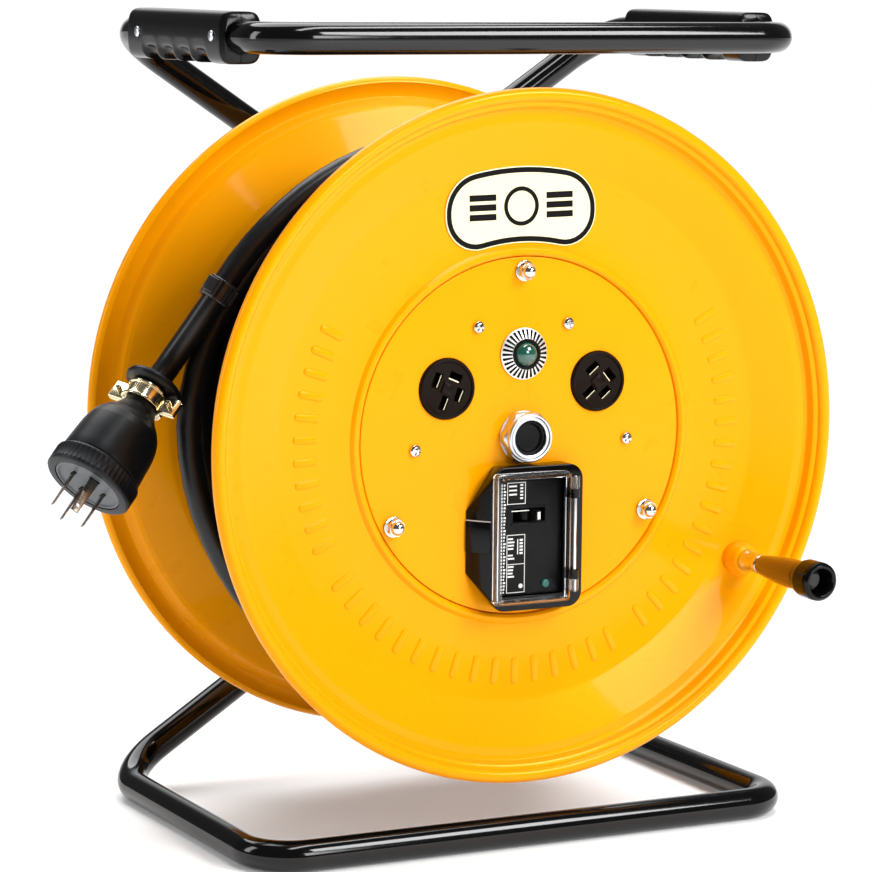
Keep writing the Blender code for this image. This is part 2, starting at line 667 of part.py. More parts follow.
def rear_bush():
    inner = AXLE_R + RUN_CLEAR
    web_back = -DRUM_W - WEB_OUT
    thrust = HUB_PLATE_FRONT + GAP + AXLE_FLANGE_T + GAP
    seat = web_back - GAP
    profile = [(inner, REAR_BUSH_FRONT), (REAR_BUSH_R, REAR_BUSH_FRONT), (REAR_BUSH_R, seat),
               (REAR_BUSH_LIP, seat), (REAR_BUSH_LIP, seat - 0.0027), (REAR_BUSH_R, seat - 0.0037),
               (REAR_BUSH_R, thrust), (inner, thrust)]
    return finish(turned("rear_bush", profile, 32, closed=True), NYLON, DRUM)


def name_plate():
    """Blank enamel plate between two arcs about the axle, with upright sides and round corners."""
    low_r, high_r = PLATE_ARCS
    low_round, high_round = PLATE_ROUNDS
    low_x, high_x = PLATE_HALF - low_round, PLATE_HALF - high_round
    low_y = math.sqrt((low_r + low_round) ** 2 - low_x ** 2)
    high_y = math.sqrt((high_r - high_round) ** 2 - high_x ** 2)
    low_turn = math.degrees(math.atan2(low_y, low_x))
    high_turn = math.degrees(math.atan2(high_y, high_x))
    right = arc((0.0, 0.0), low_r, 90, low_turn, 5)[1:]
    right += arc((low_x, low_y), low_round, low_turn - 180, 0, 5)[1:]
    right += arc((high_x, high_y), high_round, 0, high_turn, 5)
    right += arc((0.0, 0.0), high_r, high_turn, 90, 4)[1:-1]
    points = [(0.0, low_r)] + right + [(0.0, high_r)] + [(-x, y) for x, y in reversed(right)]
    item = outline("name_plate", points, WEB_OUT + GAP, WEB_OUT + GAP + PLATE_T)
    return finish(item, CREAM, DRUM, rotation=(0.0, 0.0, PLATE_TURN))


# ---------------------------------------------------------------- breaker

def breaker_housing():
    """Black surround: a box whose left wall leans out to the panel between two corner facets."""
    base = PANEL_OUT + GAP

    def build(shape):
        front = rounded_box(*HOUSING_BOX, HOUSING_ROUND)
        right = [(x, y) for x, y in front if x > 0]
        for x, y in front:
            shape.verts.new((x, y, HOUSING_FRONT))
        for x, y in (*right, *HOUSING_FOOT):
            shape.verts.new((x, y, base))
        hull = bmesh.ops.convex_hull(shape, input=shape.verts)
        loose = hull["geom_unused"] + hull["geom_interior"]
        verts = [piece for piece in loose if isinstance(piece, bmesh.types.BMVert)]
        bmesh.ops.delete(shape, geom=list(set(verts)), context="VERTS")
        bmesh.ops.dissolve_limit(shape, angle_limit=math.radians(1), verts=shape.verts, edges=shape.edges)
    item = add_mesh("breaker_housing", build)
    x0, y0, x1, y1 = BREAKER_BOX
    pocket = box("housing_pocket", (x0 - GAP, y0 - GAP, -0.03), (x1 + GAP, y1 + GAP, 0.01), CUTTERS)
    boolean(item, as_cutter(pocket, DRUM))
    for index, (low, high) in enumerate(HOUSING_KNUCKLES):
        boolean(item, hinge_knuckle(f"housing_knuckle_{index}", low, high, 0), "UNION")
    boolean(item, hinge_bore("housing_hinge_bore", PIN_R + RUN_CLEAR))
    return finish(item, BLACK_PLASTIC, DRUM)


def hinge_knuckle(name, low, high, turn):
    """Round knuckle with a straight leg, which runs back at 0 degrees and to the left at 90."""
    leg = HINGE_X - COVER_BOX[2] + 0.0008 if turn else KNUCKLE_LEG
    points = arc((0.0, 0.0), KNUCKLE_R, 180, 360, 13) + [(KNUCKLE_R, leg), (-KNUCKLE_R, leg)]
    if turn:
        points = [(-y, x * 0.85) for x, y in points]
    item = outline(name, points, low, high, CUTTERS)
    return as_cutter(item, DRUM, (HINGE_X, 0.0, HINGE_OUT), (-math.pi / 2, 0.0, 0.0))


def hinge_bore(name, radius):
    item = cylinder(name, radius, -0.12, 0.01, 16, CUTTERS)
    return as_cutter(item, DRUM, (HINGE_X, 0.0, HINGE_OUT), (-math.pi / 2, 0.0, 0.0))


def cover_pin():
    item = cylinder("cover_pin", PIN_R, *PIN_ENDS, 16)
    return finish(item, ZINC, DRUM, (HINGE_X, 0.0, HINGE_OUT), (-math.pi / 2, 0.0, 0.0))


def breaker_cover():
    """Clear lid: a shallow tray with its open side to the breaker, and two hinge knuckles."""
    x0, y0, x1, y1 = COVER_BOX
    back = HOUSING_FRONT + GAP
    wall = COVER_WALL
    item = box("breaker_cover", (x0, y0, back), (x1, y1, COVER_FRONT))
    hollow = box("cover_hollow", (x0 + wall, y0 + wall, back - 0.005),
                 (x1 - wall, y1 - wall, COVER_FRONT - wall), CUTTERS)
    bevel(item, 0.0015, 2)
    boolean(item, as_cutter(hollow, DRUM))
    for index, (low, high) in enumerate(COVER_KNUCKLES):
        boolean(item, hinge_knuckle(f"cover_knuckle_{index}", low, high, 90), "UNION")
    boolean(item, hinge_bore("cover_hinge_bore", PIN_R + RUN_CLEAR))
    return finish(item, CLEAR, DRUM)


def breaker_body():
    x0, y0, x1, y1 = BREAKER_BOX
    item = box("breaker_body", (x0, y0, PANEL_OUT + GAP), (x1, y1, BREAKER_FRONT))
    x0, y0, x1, y1 = BREAKER_DEEP
    deep = box("breaker_deep", (x0 + GAP, y0, -0.070), (x1 - GAP, y1, PANEL_OUT + 0.004), CUTTERS)
    boolean(item, as_cutter(deep, DRUM), "UNION")
    half_x, half_y = LEVER_SLOT_HALF
    slot = box("lever_slot", (LEVER_X - half_x, LEVER_Y - half_y, -0.020),
               (LEVER_X + half_x, LEVER_Y + half_y, 0.0), CUTTERS)
    well = cylinder("button_well", BUTTON_WELL_R, -0.013, 0.0, 16, CUTTERS)
    boolean(item, as_cutter(slot, DRUM))
    boolean(item, as_cutter(well, DRUM, (BUTTON_X, BUTTON_Y, 0.0)))
    return finish(item, BLACK_PLASTIC, DRUM)


def breaker_lever():
    """Toggle on a drum-shaped root, leaning to the right in its rest position."""
    item = cylinder("breaker_lever", LEVER_ROOT_R, -LEVER_ROOT_HALF, LEVER_ROOT_HALF, 20)
    thick, wide, reach = LEVER_HANDLE
    handle = box("lever_handle", (-thick, 0.0, -wide), (thick, reach, wide), CUTTERS)
    place = (LEVER_X, LEVER_Y, LEVER_OUT)
    as_cutter(handle, item, (0.0, 0.0, 0.0), (0.0, 0.0, math.pi + math.radians(LEVER_LEAN)))
    boolean(item, handle, "UNION")
    return finish(item, BLACK_PLASTIC, DRUM, place, (-math.pi / 2, 0.0, 0.0))


def test_button():
    front = BREAKER_FRONT + 0.0016
    back = BREAKER_FRONT - 0.0032
    item = turned("test_button", [(0.0, front), (0.0020, front - 0.0001), (BUTTON_R, front - 0.0006),
                                  (BUTTON_R, back), (0.0, back)], 12)
    return finish(item, GREEN, DRUM, (BUTTON_X, BUTTON_Y, 0.0))


# ---------------------------------------------------------------- crank

def crank():
    place = (CRANK_X, CRANK_Y, 0.0)
    boss = CRANK_BOSS + GAP
    nut_seat = BOSS_BACK - GAP
    grip_back, grip_front = CRANK_GRIP
    cap_back = grip_front + GAP
    seat = cap_back + 0.0060
    bore = ROD_R + RUN_CLEAR
    head = [(0.0, seat + 0.0045), (0.0040, seat + 0.0042), (0.0046, seat + 0.0030), (0.0046, seat + GAP)]
    nut = [(0.0060, nut_seat), (0.0060, nut_seat - 0.0040), (0.0, nut_seat - 0.0040)]
    stem = [(ROD_R, seat + GAP), (ROD_R, nut_seat)]
    finish(turned("crank_spindle", head + stem + nut, 16), ZINC, DRUM, place)
    sleeve = [(ROD_HOLE_R, grip_back - GAP), (0.0058, grip_back - GAP), (0.0064, 0.0090), (0.0062, 0.0),
              (0.0070, -0.0024), (0.0072, boss), (ROD_HOLE_R, boss)]
    finish(turned("crank_ferrule", sleeve, 20, closed=True), CHROME, DRUM, place)
    barrel = [(0.0078, grip_front), (0.0092, grip_front - 0.004), (0.0092, grip_front - 0.014),
              (0.0084, 0.0340), (0.0072, 0.0200), (0.0062, grip_back + 0.001), (0.0056, grip_back)]
    grip = turned("crank_grip", [(bore, grip_front)] + barrel + [(bore, grip_back)], 20, closed=True)
    finish(grip, BROWN, DRUM, place)
    cap_front = CRANK_REACH
    knob = [(bore, seat), (0.0066, seat), (0.0072, cap_front - 0.0016), (0.0084, cap_front),
            (0.0102, cap_front - 0.0006), (0.0118, cap_front - 0.0024), (CRANK_CAP_R, cap_back + 0.0040),
            (0.0106, cap_back), (bore, cap_back)]
    finish(turned("crank_cap", knob, 20, closed=True), BLACK_PLASTIC, DRUM, place)


# ---------------------------------------------------------------- cord and plug

def cord_coil():
    front = CORE_FRONT - GAP
    back = CORE_BACK + GAP
    inner = CORE_R + GAP
    soft = CORD_R / 2
    profile = [(inner, front), (COIL_R - soft, front), (COIL_R, front - soft), (COIL_R, back + soft),
               (COIL_R - soft, back), (inner, back)]
    return finish(turned("cord_coil", profile, DRUM_STEPS, closed=True), RUBBER, DRUM)


TAIL_ANGLES = range(60, 151, 5)
TAIL_LIE = COIL_R + CORD_R + GAP
TAIL_LIFT = 0.0027        # rise off the coil where the band tie goes round
TAIL_OUT = -0.1162        # where the last turn starts, behind the rim plane
TAIL_DRIFT = -0.0060      # how far it moves back on its way to the plug
TAIL_LEAD = 0.0040        # straight end, square to the plug's neck
FREE_STEPS = (0.22, 0.44, 0.66, 0.86, 1.0)


def tail_points():
    """The last turn of cord over the coil, then its free end down to the plug."""
    points = []
    for angle in TAIL_ANGLES:
        lift = TAIL_LIFT * max(0.0, (angle - 130) / 20) ** 1.5
        out = TAIL_OUT + TAIL_DRIFT * (angle - TAIL_ANGLES[0]) / 90
        points.append(Vector((*polar(TAIL_LIE + lift, angle), out)))
    start = points[-1]
    leave = (points[-1] - points[-2]).normalized()
    end = PLUG_NECK - PLUG_AXIS * (TAIL_LEAD + GAP)
    span = (end - start).length
    first = start + leave * span * 0.35
    second = end - PLUG_AXIS * span * 0.35
    free = []
    for step in FREE_STEPS:
        free.append((1 - step) ** 3 * start + 3 * (1 - step) ** 2 * step * first
                    + 3 * (1 - step) * step ** 2 * second + step ** 3 * end)
    return points + free + [end + PLUG_AXIS * TAIL_LEAD]


def cord_tail():
    return finish(tube("cord_tail", tail_points(), CORD_R, 3), RUBBER, DRUM)


def cord_strap():
    """Band tie round the cord where it leaves the coil."""
    route = tail_points()
    index = len(TAIL_ANGLES) - 1
    along = (route[index + 1] - route[index - 1]).normalized()
    inner = CORD_R + 2 * GAP
    outer = inner + BAND_T
    profile = [(inner, BAND_HALF), (outer, BAND_HALF), (outer, -BAND_HALF), (inner, -BAND_HALF)]
    item = turned("cord_strap", profile, 20, closed=True)
    finish(item, BLACK_PLASTIC, DRUM, route[index])
    item.rotation_euler = along.to_track_quat("Z", "Y").to_euler()
    return item


def plug():
    """Rubber plug: local +Z runs from the contact face back along the cord."""
    face = PLUG_NECK + PLUG_AXIS * PLUG_LENGTH
    holder = axis_empty("plug_axis", DRUM, face, (-PLUG_AXIS).to_track_quat("Z", "Y").to_euler())
    holder_turn = axis_empty("plug_turn", holder, (0.0, 0.0, 0.0), (0.0, 0.0, PLUG_TURN))
    neck_end = PLUG_LENGTH
    body = turned("plug_body", [(0.0, neck_end), (0.0185, neck_end), (0.0190, neck_end - 0.0045),
                                (0.0105, neck_end - 0.0062), (0.0105, 0.0620), (0.0122, 0.0598),
                                (0.0168, 0.0534), (0.0216, 0.0460), (0.0244, 0.0360), (0.0258, 0.0250),
                                (0.0266, 0.0135), (0.0, 0.0135)], 24)
    finish(body, RUBBER, holder_turn)
    collar = turned("plug_collar", [(PLUG_R - 0.0012, 0.0132), (PLUG_R, 0.0120), (PLUG_R, 0.0015),
                                    (PLUG_R - 0.0015, 0.0), (0.0222, 0.0), (0.0222, 0.0132)],
                    28, closed=True)
    finish(collar, BLACK_PLASTIC, holder_turn)
    face_disc = cylinder("plug_face", 0.0219, 0.0016, 0.0132, 28)
    for index, (x, y, along_x) in enumerate(BLADES):
        slot = box(f"plug_slot_{index}", blade_corner(x, y, along_x, -1, -0.001, GAP),
                   blade_corner(x, y, along_x, 1, 0.0080, GAP), CUTTERS)
        boolean(face_disc, as_cutter(slot, holder_turn))
    finish(face_disc, GREY, holder_turn)
    for index, (x, y, along_x) in enumerate(BLADES):
        blade = box(f"plug_blade_{index + 1}", blade_corner(x, y, along_x, -1, -BLADE_LENGTH, 0.0),
                    blade_corner(x, y, along_x, 1, 0.0078 - GAP, 0.0))
        finish(blade, BRASS, holder_turn)
    clamp(axis_empty("clamp_axis", holder, (0.0, 0.0, 0.0), (0.0, 0.0, CLAMP_TURN)))


BLADES = ((BLADE_R, 0.0, False), (-BLADE_R, 0.0, False), (0.0, BLADE_R, True), (0.0, -BLADE_R, False))
BLADE_HALF_W = 0.0034
BLADE_HALF_T = 0.0008


def blade_corner(x, y, along_x, sign, height, grow):
    """One corner of a contact blade, or of the slot that holds it."""
    half = (BLADE_HALF_W, BLADE_HALF_T) if along_x else (BLADE_HALF_T, BLADE_HALF_W)
    return (x + sign * (half[0] + grow), y + sign * (half[1] + grow), height)


CLAMP_LOW = 0.0628
CLAMP_HIGH = 0.0738
CLAMP_EAR = 0.0185


def clamp(holder):
    """Two pressed half rings with ears, drawn together by two screws."""
    inner, outer = CLAMP_RADII
    for index, side in enumerate((1, -1)):
        ring = arc((0.0, 0.0), outer, 0, 180, 11)
        bore = arc((0.0, 0.0), inner, 180, 0, 11)
        foot = outer - 0.0002
        points = [(CLAMP_HALF, CLAMP_EAR_T), (foot, CLAMP_EAR_T)] + ring[2:-2]
        points += [(-foot, CLAMP_EAR_T), (-CLAMP_HALF, CLAMP_EAR_T), (-CLAMP_HALF, GAP), (-inner, GAP)]
        points += bore[1:-1] + [(inner, GAP), (CLAMP_HALF, GAP)]
        item = outline(f"cord_clamp_{index + 1}", [(x, side * y) for x, y in points], CLAMP_LOW, CLAMP_HIGH)
        for number, x in enumerate((-CLAMP_EAR, CLAMP_EAR)):
            hole = cylinder(f"clamp_hole_{index}_{number}", 0.0019, -0.01, 0.01, 12, CUTTERS)
            boolean(item, as_cutter(hole, holder, (x, 0.0, (CLAMP_LOW + CLAMP_HIGH) / 2),
                                    (math.pi / 2, 0.0, 0.0)))
        finish(item, BRASS, holder)
    for index, x in enumerate((-CLAMP_EAR, CLAMP_EAR)):
        under = CLAMP_EAR_T + GAP
        screw = turned(f"clamp_screw_{index + 1}",
                       [(0.0, under + 0.0026), (0.0026, under + 0.0024), (0.0040, under + 0.0010),
                        (0.0040, under), (0.0016, under), (0.0016, -0.0060), (0.0, -0.0060)], 12)
        finish(screw, BRASS, holder, (x, 0.0, (CLAMP_LOW + CLAMP_HIGH) / 2), (math.pi / 2, 0.0, 0.0))


# ---------------------------------------------------------------- assembly

def build_frame():
    frame_tube("handle_tube", HANDLE_X, TOP_Z, HANDLE_TILT)
    frame_tube("base_tube", BASE_X, BASE_Z, BASE_TILT)
    hub_plate()
    axle()
    axle_nut()
    axle_plug()
    for name, side in (("left", -1), ("right", 1)):
        grip_half(f"grip_{name}_outer", side, 1)
        grip_half(f"grip_{name}_inner", side, -1)
        for index, out in enumerate(GRIP_SCREWS):
            grip_screw(f"grip_{name}_screw_{index + 1}", side, out)


def build_drum():
    front_flange()
    rear_flange()
    drum_core()
    socket_panel()
    for index, angle in enumerate(TIE_ANGLES):
        tie_rod(f"tie_rod_{index + 1}", angle)
        dome_nut(f"dome_nut_{index + 1}", angle)
    screws = []
    for name, side, upper, lower in socket_spots():
        socket(name, side, upper, lower)
        screws += [upper, lower]
    for index, place in enumerate(screws):
        panel_screw(f"panel_screw_{index + 1}", place)
    lamp()
    front_bush()
    rear_bush()
    name_plate()
    breaker_housing()
    breaker_body()
    breaker_cover()
    cover_pin()
    breaker_lever()
    test_button()
    crank()


def build_cord():
    cord_coil()
    cord_tail()
    cord_strap()
    plug()


build_frame()
build_drum()
build_cord()
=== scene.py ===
"""Looks of the extension cord reel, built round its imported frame."""

import json
import math

import bmesh
import bpy
from mathutils import Matrix, Vector
from mathutils.geometry import tessellate_polygon


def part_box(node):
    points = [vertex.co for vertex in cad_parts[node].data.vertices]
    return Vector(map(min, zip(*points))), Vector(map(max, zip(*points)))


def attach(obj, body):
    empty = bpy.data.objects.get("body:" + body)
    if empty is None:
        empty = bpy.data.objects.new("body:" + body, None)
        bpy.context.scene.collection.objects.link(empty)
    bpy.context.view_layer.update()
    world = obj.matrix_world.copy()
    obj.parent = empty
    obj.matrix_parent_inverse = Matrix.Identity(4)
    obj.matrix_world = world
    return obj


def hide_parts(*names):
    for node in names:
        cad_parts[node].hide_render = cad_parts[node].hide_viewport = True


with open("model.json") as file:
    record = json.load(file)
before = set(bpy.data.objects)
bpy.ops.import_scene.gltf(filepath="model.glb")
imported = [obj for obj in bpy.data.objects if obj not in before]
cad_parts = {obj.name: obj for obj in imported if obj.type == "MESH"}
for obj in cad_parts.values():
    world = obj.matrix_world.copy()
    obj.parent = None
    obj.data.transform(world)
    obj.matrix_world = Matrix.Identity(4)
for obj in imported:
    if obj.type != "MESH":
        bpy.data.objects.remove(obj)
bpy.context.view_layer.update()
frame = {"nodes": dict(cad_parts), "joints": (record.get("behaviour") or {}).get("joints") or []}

# Local frame: X right, Y up, Z out of the drum's front; its origin is the axle at the front rim's plane.
JOINTS = {joint["name"]: joint for joint in frame["joints"]}
ORIGIN = Vector(JOINTS["drum_spin"]["pos_m"])
SPACE = Matrix.Translation(ORIGIN) @ Matrix.Rotation(math.pi / 2, 4, "X")
GAP = 0.0003


class Seat:
    """Where a CAD node is, in the local frame."""

    def __init__(self, node):
        low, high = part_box(node)
        self.left, self.right = low.x, high.x
        self.bottom, self.top = low.z - ORIGIN.z, high.z - ORIGIN.z
        self.front, self.back = ORIGIN.y - low.y, ORIGIN.y - high.y
        self.x, self.y = (self.left + self.right) / 2, (self.bottom + self.top) / 2
        self.radius = (self.right - self.left) / 2


# ---------------------------------------------------------------- shapes

def arc(centre, radius, start, end, count):
    angles = [math.radians(start + (end - start) * i / (count - 1)) for i in range(count)]
    return [(centre[0] + radius * math.cos(a), centre[1] + radius * math.sin(a)) for a in angles]


def polar(radius, degrees):
    return (radius * math.cos(math.radians(degrees)), radius * math.sin(math.radians(degrees)))


def circle(radius, count=64, centre=(0.0, 0.0)):
    points = [polar(radius, 360 * i / count) for i in range(count)]
    return [(centre[0] + x, centre[1] + y) for x, y in points]


TINY = 1e-7
STRAIGHT = math.radians(172)
CORNER_SHARE = 0.45


def rounded(points, radius, closed=False, count=4):
    """The same outline with each of its corners on a small arc."""
    out = []
    total = len(points)
    for i, corner in enumerate(points):
        if not closed and i in (0, total - 1):
            out.append(tuple(corner))
            continue
        here = Vector(corner)
        back, ahead = Vector(points[i - 1]) - here, Vector(points[(i + 1) % total]) - here
        if back.length < TINY or ahead.length < TINY:
            continue
        turn = back.angle(ahead)
        if turn > STRAIGHT:
            out.append(tuple(corner))
            continue
        reach = min(radius / math.tan(turn / 2), back.length * CORNER_SHARE, ahead.length * CORNER_SHARE)
        size = reach * math.tan(turn / 2)
        middle = here + (back.normalized() + ahead.normalized()).normalized() * (size / math.sin(turn / 2))
        start = here + back.normalized() * reach - middle
        end = here + ahead.normalized() * reach - middle
        sweep = start.angle_signed(end)
        for k in range(count + 1):
            angle = -sweep * k / count
            cos, sin = math.cos(angle), math.sin(angle)
            out.append((middle.x + start.x * cos - start.y * sin, middle.y + start.x * sin + start.y * cos))
    return out


def rectangle(low, high, radius, count=5):
    (x0, y0), (x1, y1) = low, high
    return rounded([(x0, y0), (x1, y0), (x1, y1), (x0, y1)], radius, closed=True, count=count)


def lathe(profile, steps=96, closed=False):
    """Turn a profile of (radius, height) about Z."""
    shape = bmesh.new()
    rings = []
    for radius, height in profile:
        if radius < TINY:
            rings.append([shape.verts.new((0.0, 0.0, height))])
        else:
            rings.append([shape.verts.new((*polar(radius, 360 * i / steps), height)) for i in range(steps)])
    pairs = list(zip(rings, rings[1:]))
    if closed:
        pairs.append((rings[-1], rings[0]))
    for first, second in pairs:
        for i in range(steps):
            j = (i + 1) % steps
            ends = [first[i % len(first)], first[j % len(first)],
                    second[j % len(second)], second[i % len(second)]]
            face = list(dict.fromkeys(ends))
            if len(face) > 2:
                shape.faces.new(face)
    return shape


RIM_BORDER = 0.0004


def plate(loops, low, high, soft=0.0):
    """A flat plate from an outline and its holes, with its front rim rounded off by soft."""
    shape = bmesh.new()
    layers = [(low, 0.0), (high - soft, 0.0)]
    if soft:
        layers += [(high - soft * 0.3, soft * 0.3), (high, soft), (high, soft + RIM_BORDER)]
    rings = []
    for height, inset in layers:
        outlines = [inset_loop(loop, -inset if k else inset) for k, loop in enumerate(loops)]
        rings.append([[shape.verts.new((x, y, height)) for x, y in outline] for outline in outlines])
    for lower, upper in zip(rings, rings[1:]):
        for one, two in zip(lower, upper):
            for i in range(len(one)):
                j = (i + 1) % len(one)
                shape.faces.new((one[i], one[j], two[j], two[i]))
    for ring in (rings[0], rings[-1]):
        flat = [vert for loop in ring for vert in loop]
        for triangle in tessellate_polygon([[vert.co for vert in loop] for loop in ring]):
            shape.faces.new([flat[i] for i in triangle])
    return shape


def inset_loop(loop, amount):
    """Move an outline inwards by amount."""
    if not amount:
        return loop
    area = sum(a[0] * b[1] - b[0] * a[1] for a, b in zip(loop, loop[1:] + loop[:1]))
    sign = 1.0 if area > 0 else -1.0
    shifted = []
    for i, point in enumerate(loop):
        before, after = Vector(loop[i - 1]), Vector(loop[(i + 1) % len(loop)])
        along = (after - before).normalized()
        shifted.append((point[0] - along.y * amount * sign, point[1] + along.x * amount * sign))
    return shifted


def block(low, high, soft=0.0, segments=2):
    shape = bmesh.new()
    size = [b - a for a, b in zip(low, high)]
    middle = [(a + b) / 2 for a, b in zip(low, high)]
    bmesh.ops.create_cube(shape, size=1.0, matrix=Matrix.Translation(middle) @ Matrix.Diagonal((*size, 1.0)))
    if soft:
        bmesh.ops.bevel(shape, geom=list(shape.edges), offset=soft, segments=segments, profile=0.5,
                        affect="EDGES", clamp_overlap=True)
    return shape


def sweep(points, radius, sides):
    """A round bar along a run of points, with closed ends."""
    section = circle(radius, sides)
    points = [Vector(point) for point in points]
    shape = bmesh.new()
    rings = []
    normal = None
    for i, point in enumerate(points):
        before, after = points[max(i - 1, 0)], points[min(i + 1, len(points) - 1)]
        along = (after - before).normalized()
        if normal is None:
            normal = along.orthogonal().normalized()
        normal = (normal - along * normal.dot(along)).normalized()
        side = along.cross(normal)
        rings.append([shape.verts.new(point + normal * x + side * y) for x, y in section])
    count = len(section)
    for one, two in zip(rings, rings[1:]):
        for i in range(count):
            j = (i + 1) % count
            shape.faces.new((one[i], one[j], two[j], two[i]))
    shape.faces.new(list(reversed(rings[0])))
    shape.faces.new(rings[-1])
    return shape


def loft(rings, caps=True):
    """Skin a list of closed rings that have the same number of points."""
    shape = bmesh.new()
    made = [[shape.verts.new(point) for point in ring] for ring in rings]
    count = len(rings[0])
    for one, two in zip(made, made[1:]):
        for i in range(count):
            j = (i + 1) % count
            shape.faces.new((one[i], one[j], two[j], two[i]))
    if caps:
        shape.faces.new(list(reversed(made[0])))
        shape.faces.new(made[-1])
    return shape


def hex_rings(corner, levels, steps, turn=0):
    """Rings of a hexagon, each at a height and cut off at a radius."""
    flat = corner * math.cos(math.pi / 6)
    rings = []
    for height, cut_off in levels:
        ring = []
        for i in range(steps):
            angle = 360 * i / steps
            size = min(flat / math.cos(math.radians((angle + turn) % 60 - 30)), cut_off)
            ring.append((*polar(size, angle), height))
        rings.append(ring)
    return rings


def welded(shape, reach=0.000001):
    bmesh.ops.remove_doubles(shape, verts=shape.verts, dist=reach)
    return shape


def joined(*shapes):
    """Several meshes in one."""
    whole = shapes[0]
    for other in shapes[1:]:
        spare = bpy.data.meshes.new("spare")
        other.to_mesh(spare)
        other.free()
        whole.from_mesh(spare)
        bpy.data.meshes.remove(spare)
    return whole


def moved(shape, matrix):
    bmesh.ops.transform(shape, matrix=matrix, verts=shape.verts)
    return shape


def at(x=0.0, y=0.0, z=0.0, turn=0.0, axis="Z"):
    return Matrix.Translation((x, y, z)) @ Matrix.Rotation(turn, 4, axis)


SHARP = 32       # degrees above which an edge is drawn sharp


def piece(name, shape, body, paint, place=Matrix.Identity(4), nodes=(), sharp=SHARP):
    """Make a named piece from a mesh, paint it, and let it ride on its body."""
    bmesh.ops.recalc_face_normals(shape, faces=shape.faces)
    mesh = bpy.data.meshes.new(name)
    shape.to_mesh(mesh)
    shape.free()
    mesh.shade_smooth()
    mesh.set_sharp_from_angle(angle=math.radians(sharp))
    item = bpy.data.objects.new(name, mesh)
    bpy.context.scene.collection.objects.link(item)
    item.matrix_world = SPACE @ place
    item.data.materials.append(paint)
    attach(item, body)
    if nodes:
        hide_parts(*nodes)
    return item


def cut(target, shape, place=Matrix.Identity(4)):
    """Take a mesh away from a piece for good."""
    bmesh.ops.recalc_face_normals(shape, faces=shape.faces)
    mesh = bpy.data.meshes.new("cutter")
    shape.to_mesh(mesh)
    shape.free()
    tool = bpy.data.objects.new("cutter", mesh)
    bpy.context.scene.collection.objects.link(tool)
    tool.matrix_world = SPACE @ place
    step = target.modifiers.new("cut", "BOOLEAN")
    step.operation = "DIFFERENCE"
    step.object = tool
    step.solver = "EXACT"
    bpy.context.view_layer.update()
    graph = bpy.context.evaluated_depsgraph_get()
    done = bpy.data.meshes.new_from_object(target.evaluated_get(graph))
    target.modifiers.clear()
    old = target.data
    target.data = done
    done.name = target.name
    bpy.data.meshes.remove(old)
    bpy.data.objects.remove(tool)
    bpy.data.meshes.remove(mesh)
    target.data.shade_smooth()
    target.data.set_sharp_from_angle(angle=math.radians(SHARP))


# ---------------------------------------------------------------- finishes

def surface(name, colour, roughness, metallic=0.0, coat=0.0, mottle=0.06, mottle_scale=30.0,
            grain=0.0, grain_scale=900.0, uneven=0.05, transmission=0.0, ior=1.5, specular=0.5,
            specular_colour=(1.0, 1.0, 1.0), glow=0.0):
    """A Principled finish whose colour, roughness and relief all vary over the surface."""
    made = bpy.data.materials.new(name)
    made.use_nodes = True
    nodes, links = made.node_tree.nodes, made.node_tree.links
    shader = nodes["Principled BSDF"]
    shader.inputs["Metallic"].default_value = metallic
    shader.inputs["Coat Weight"].default_value = coat
    shader.inputs["Coat Roughness"].default_value = 0.06
    shader.inputs["Transmission Weight"].default_value = transmission
    shader.inputs["IOR"].default_value = ior
    shader.inputs["Specular IOR Level"].default_value = specular
    shader.inputs["Specular Tint"].default_value = (*specular_colour, 1.0)
    shader.inputs["Emission Color"].default_value = (1.0, 1.0, 1.0, 1.0)
    shader.inputs["Emission Strength"].default_value = glow
    place = nodes.new("ShaderNodeTexCoord")
    broad = nodes.new("ShaderNodeTexNoise")
    broad.inputs["Scale"].default_value = mottle_scale
    broad.inputs["Detail"].default_value = 5.0
    links.new(place.outputs["Object"], broad.inputs["Vector"])
    tint = nodes.new("ShaderNodeMix")
    tint.data_type = "RGBA"
    tint.inputs["A"].default_value = (*[c * (1 - mottle) for c in colour], 1.0)
    tint.inputs["B"].default_value = (*[min(c * (1 + mottle), 1.0) for c in colour], 1.0)
    links.new(broad.outputs["Fac"], tint.inputs["Factor"])
    links.new(tint.outputs["Result"], shader.inputs["Base Color"])
    blotch = nodes.new("ShaderNodeTexNoise")
    blotch.inputs["Scale"].default_value = mottle_scale * 4
    blotch.inputs["Detail"].default_value = 3.0
    links.new(place.outputs["Object"], blotch.inputs["Vector"])
    spread = nodes.new("ShaderNodeMapRange")
    spread.inputs["To Min"].default_value = max(roughness - uneven, 0.01)
    spread.inputs["To Max"].default_value = roughness + uneven
    links.new(blotch.outputs["Fac"], spread.inputs["Value"])
    links.new(spread.outputs["Result"], shader.inputs["Roughness"])
    if grain:
        fine = nodes.new("ShaderNodeTexNoise")
        fine.inputs["Scale"].default_value = grain_scale
        fine.inputs["Detail"].default_value = 3.0
        links.new(place.outputs["Object"], fine.inputs["Vector"])
        bump = nodes.new("ShaderNodeBump")
        bump.inputs["Strength"].default_value = 1.0
        bump.inputs["Distance"].default_value = grain
        links.new(fine.outputs["Fac"], bump.inputs["Height"])
        links.new(bump.outputs["Normal"], shader.inputs["Normal"])
    return made


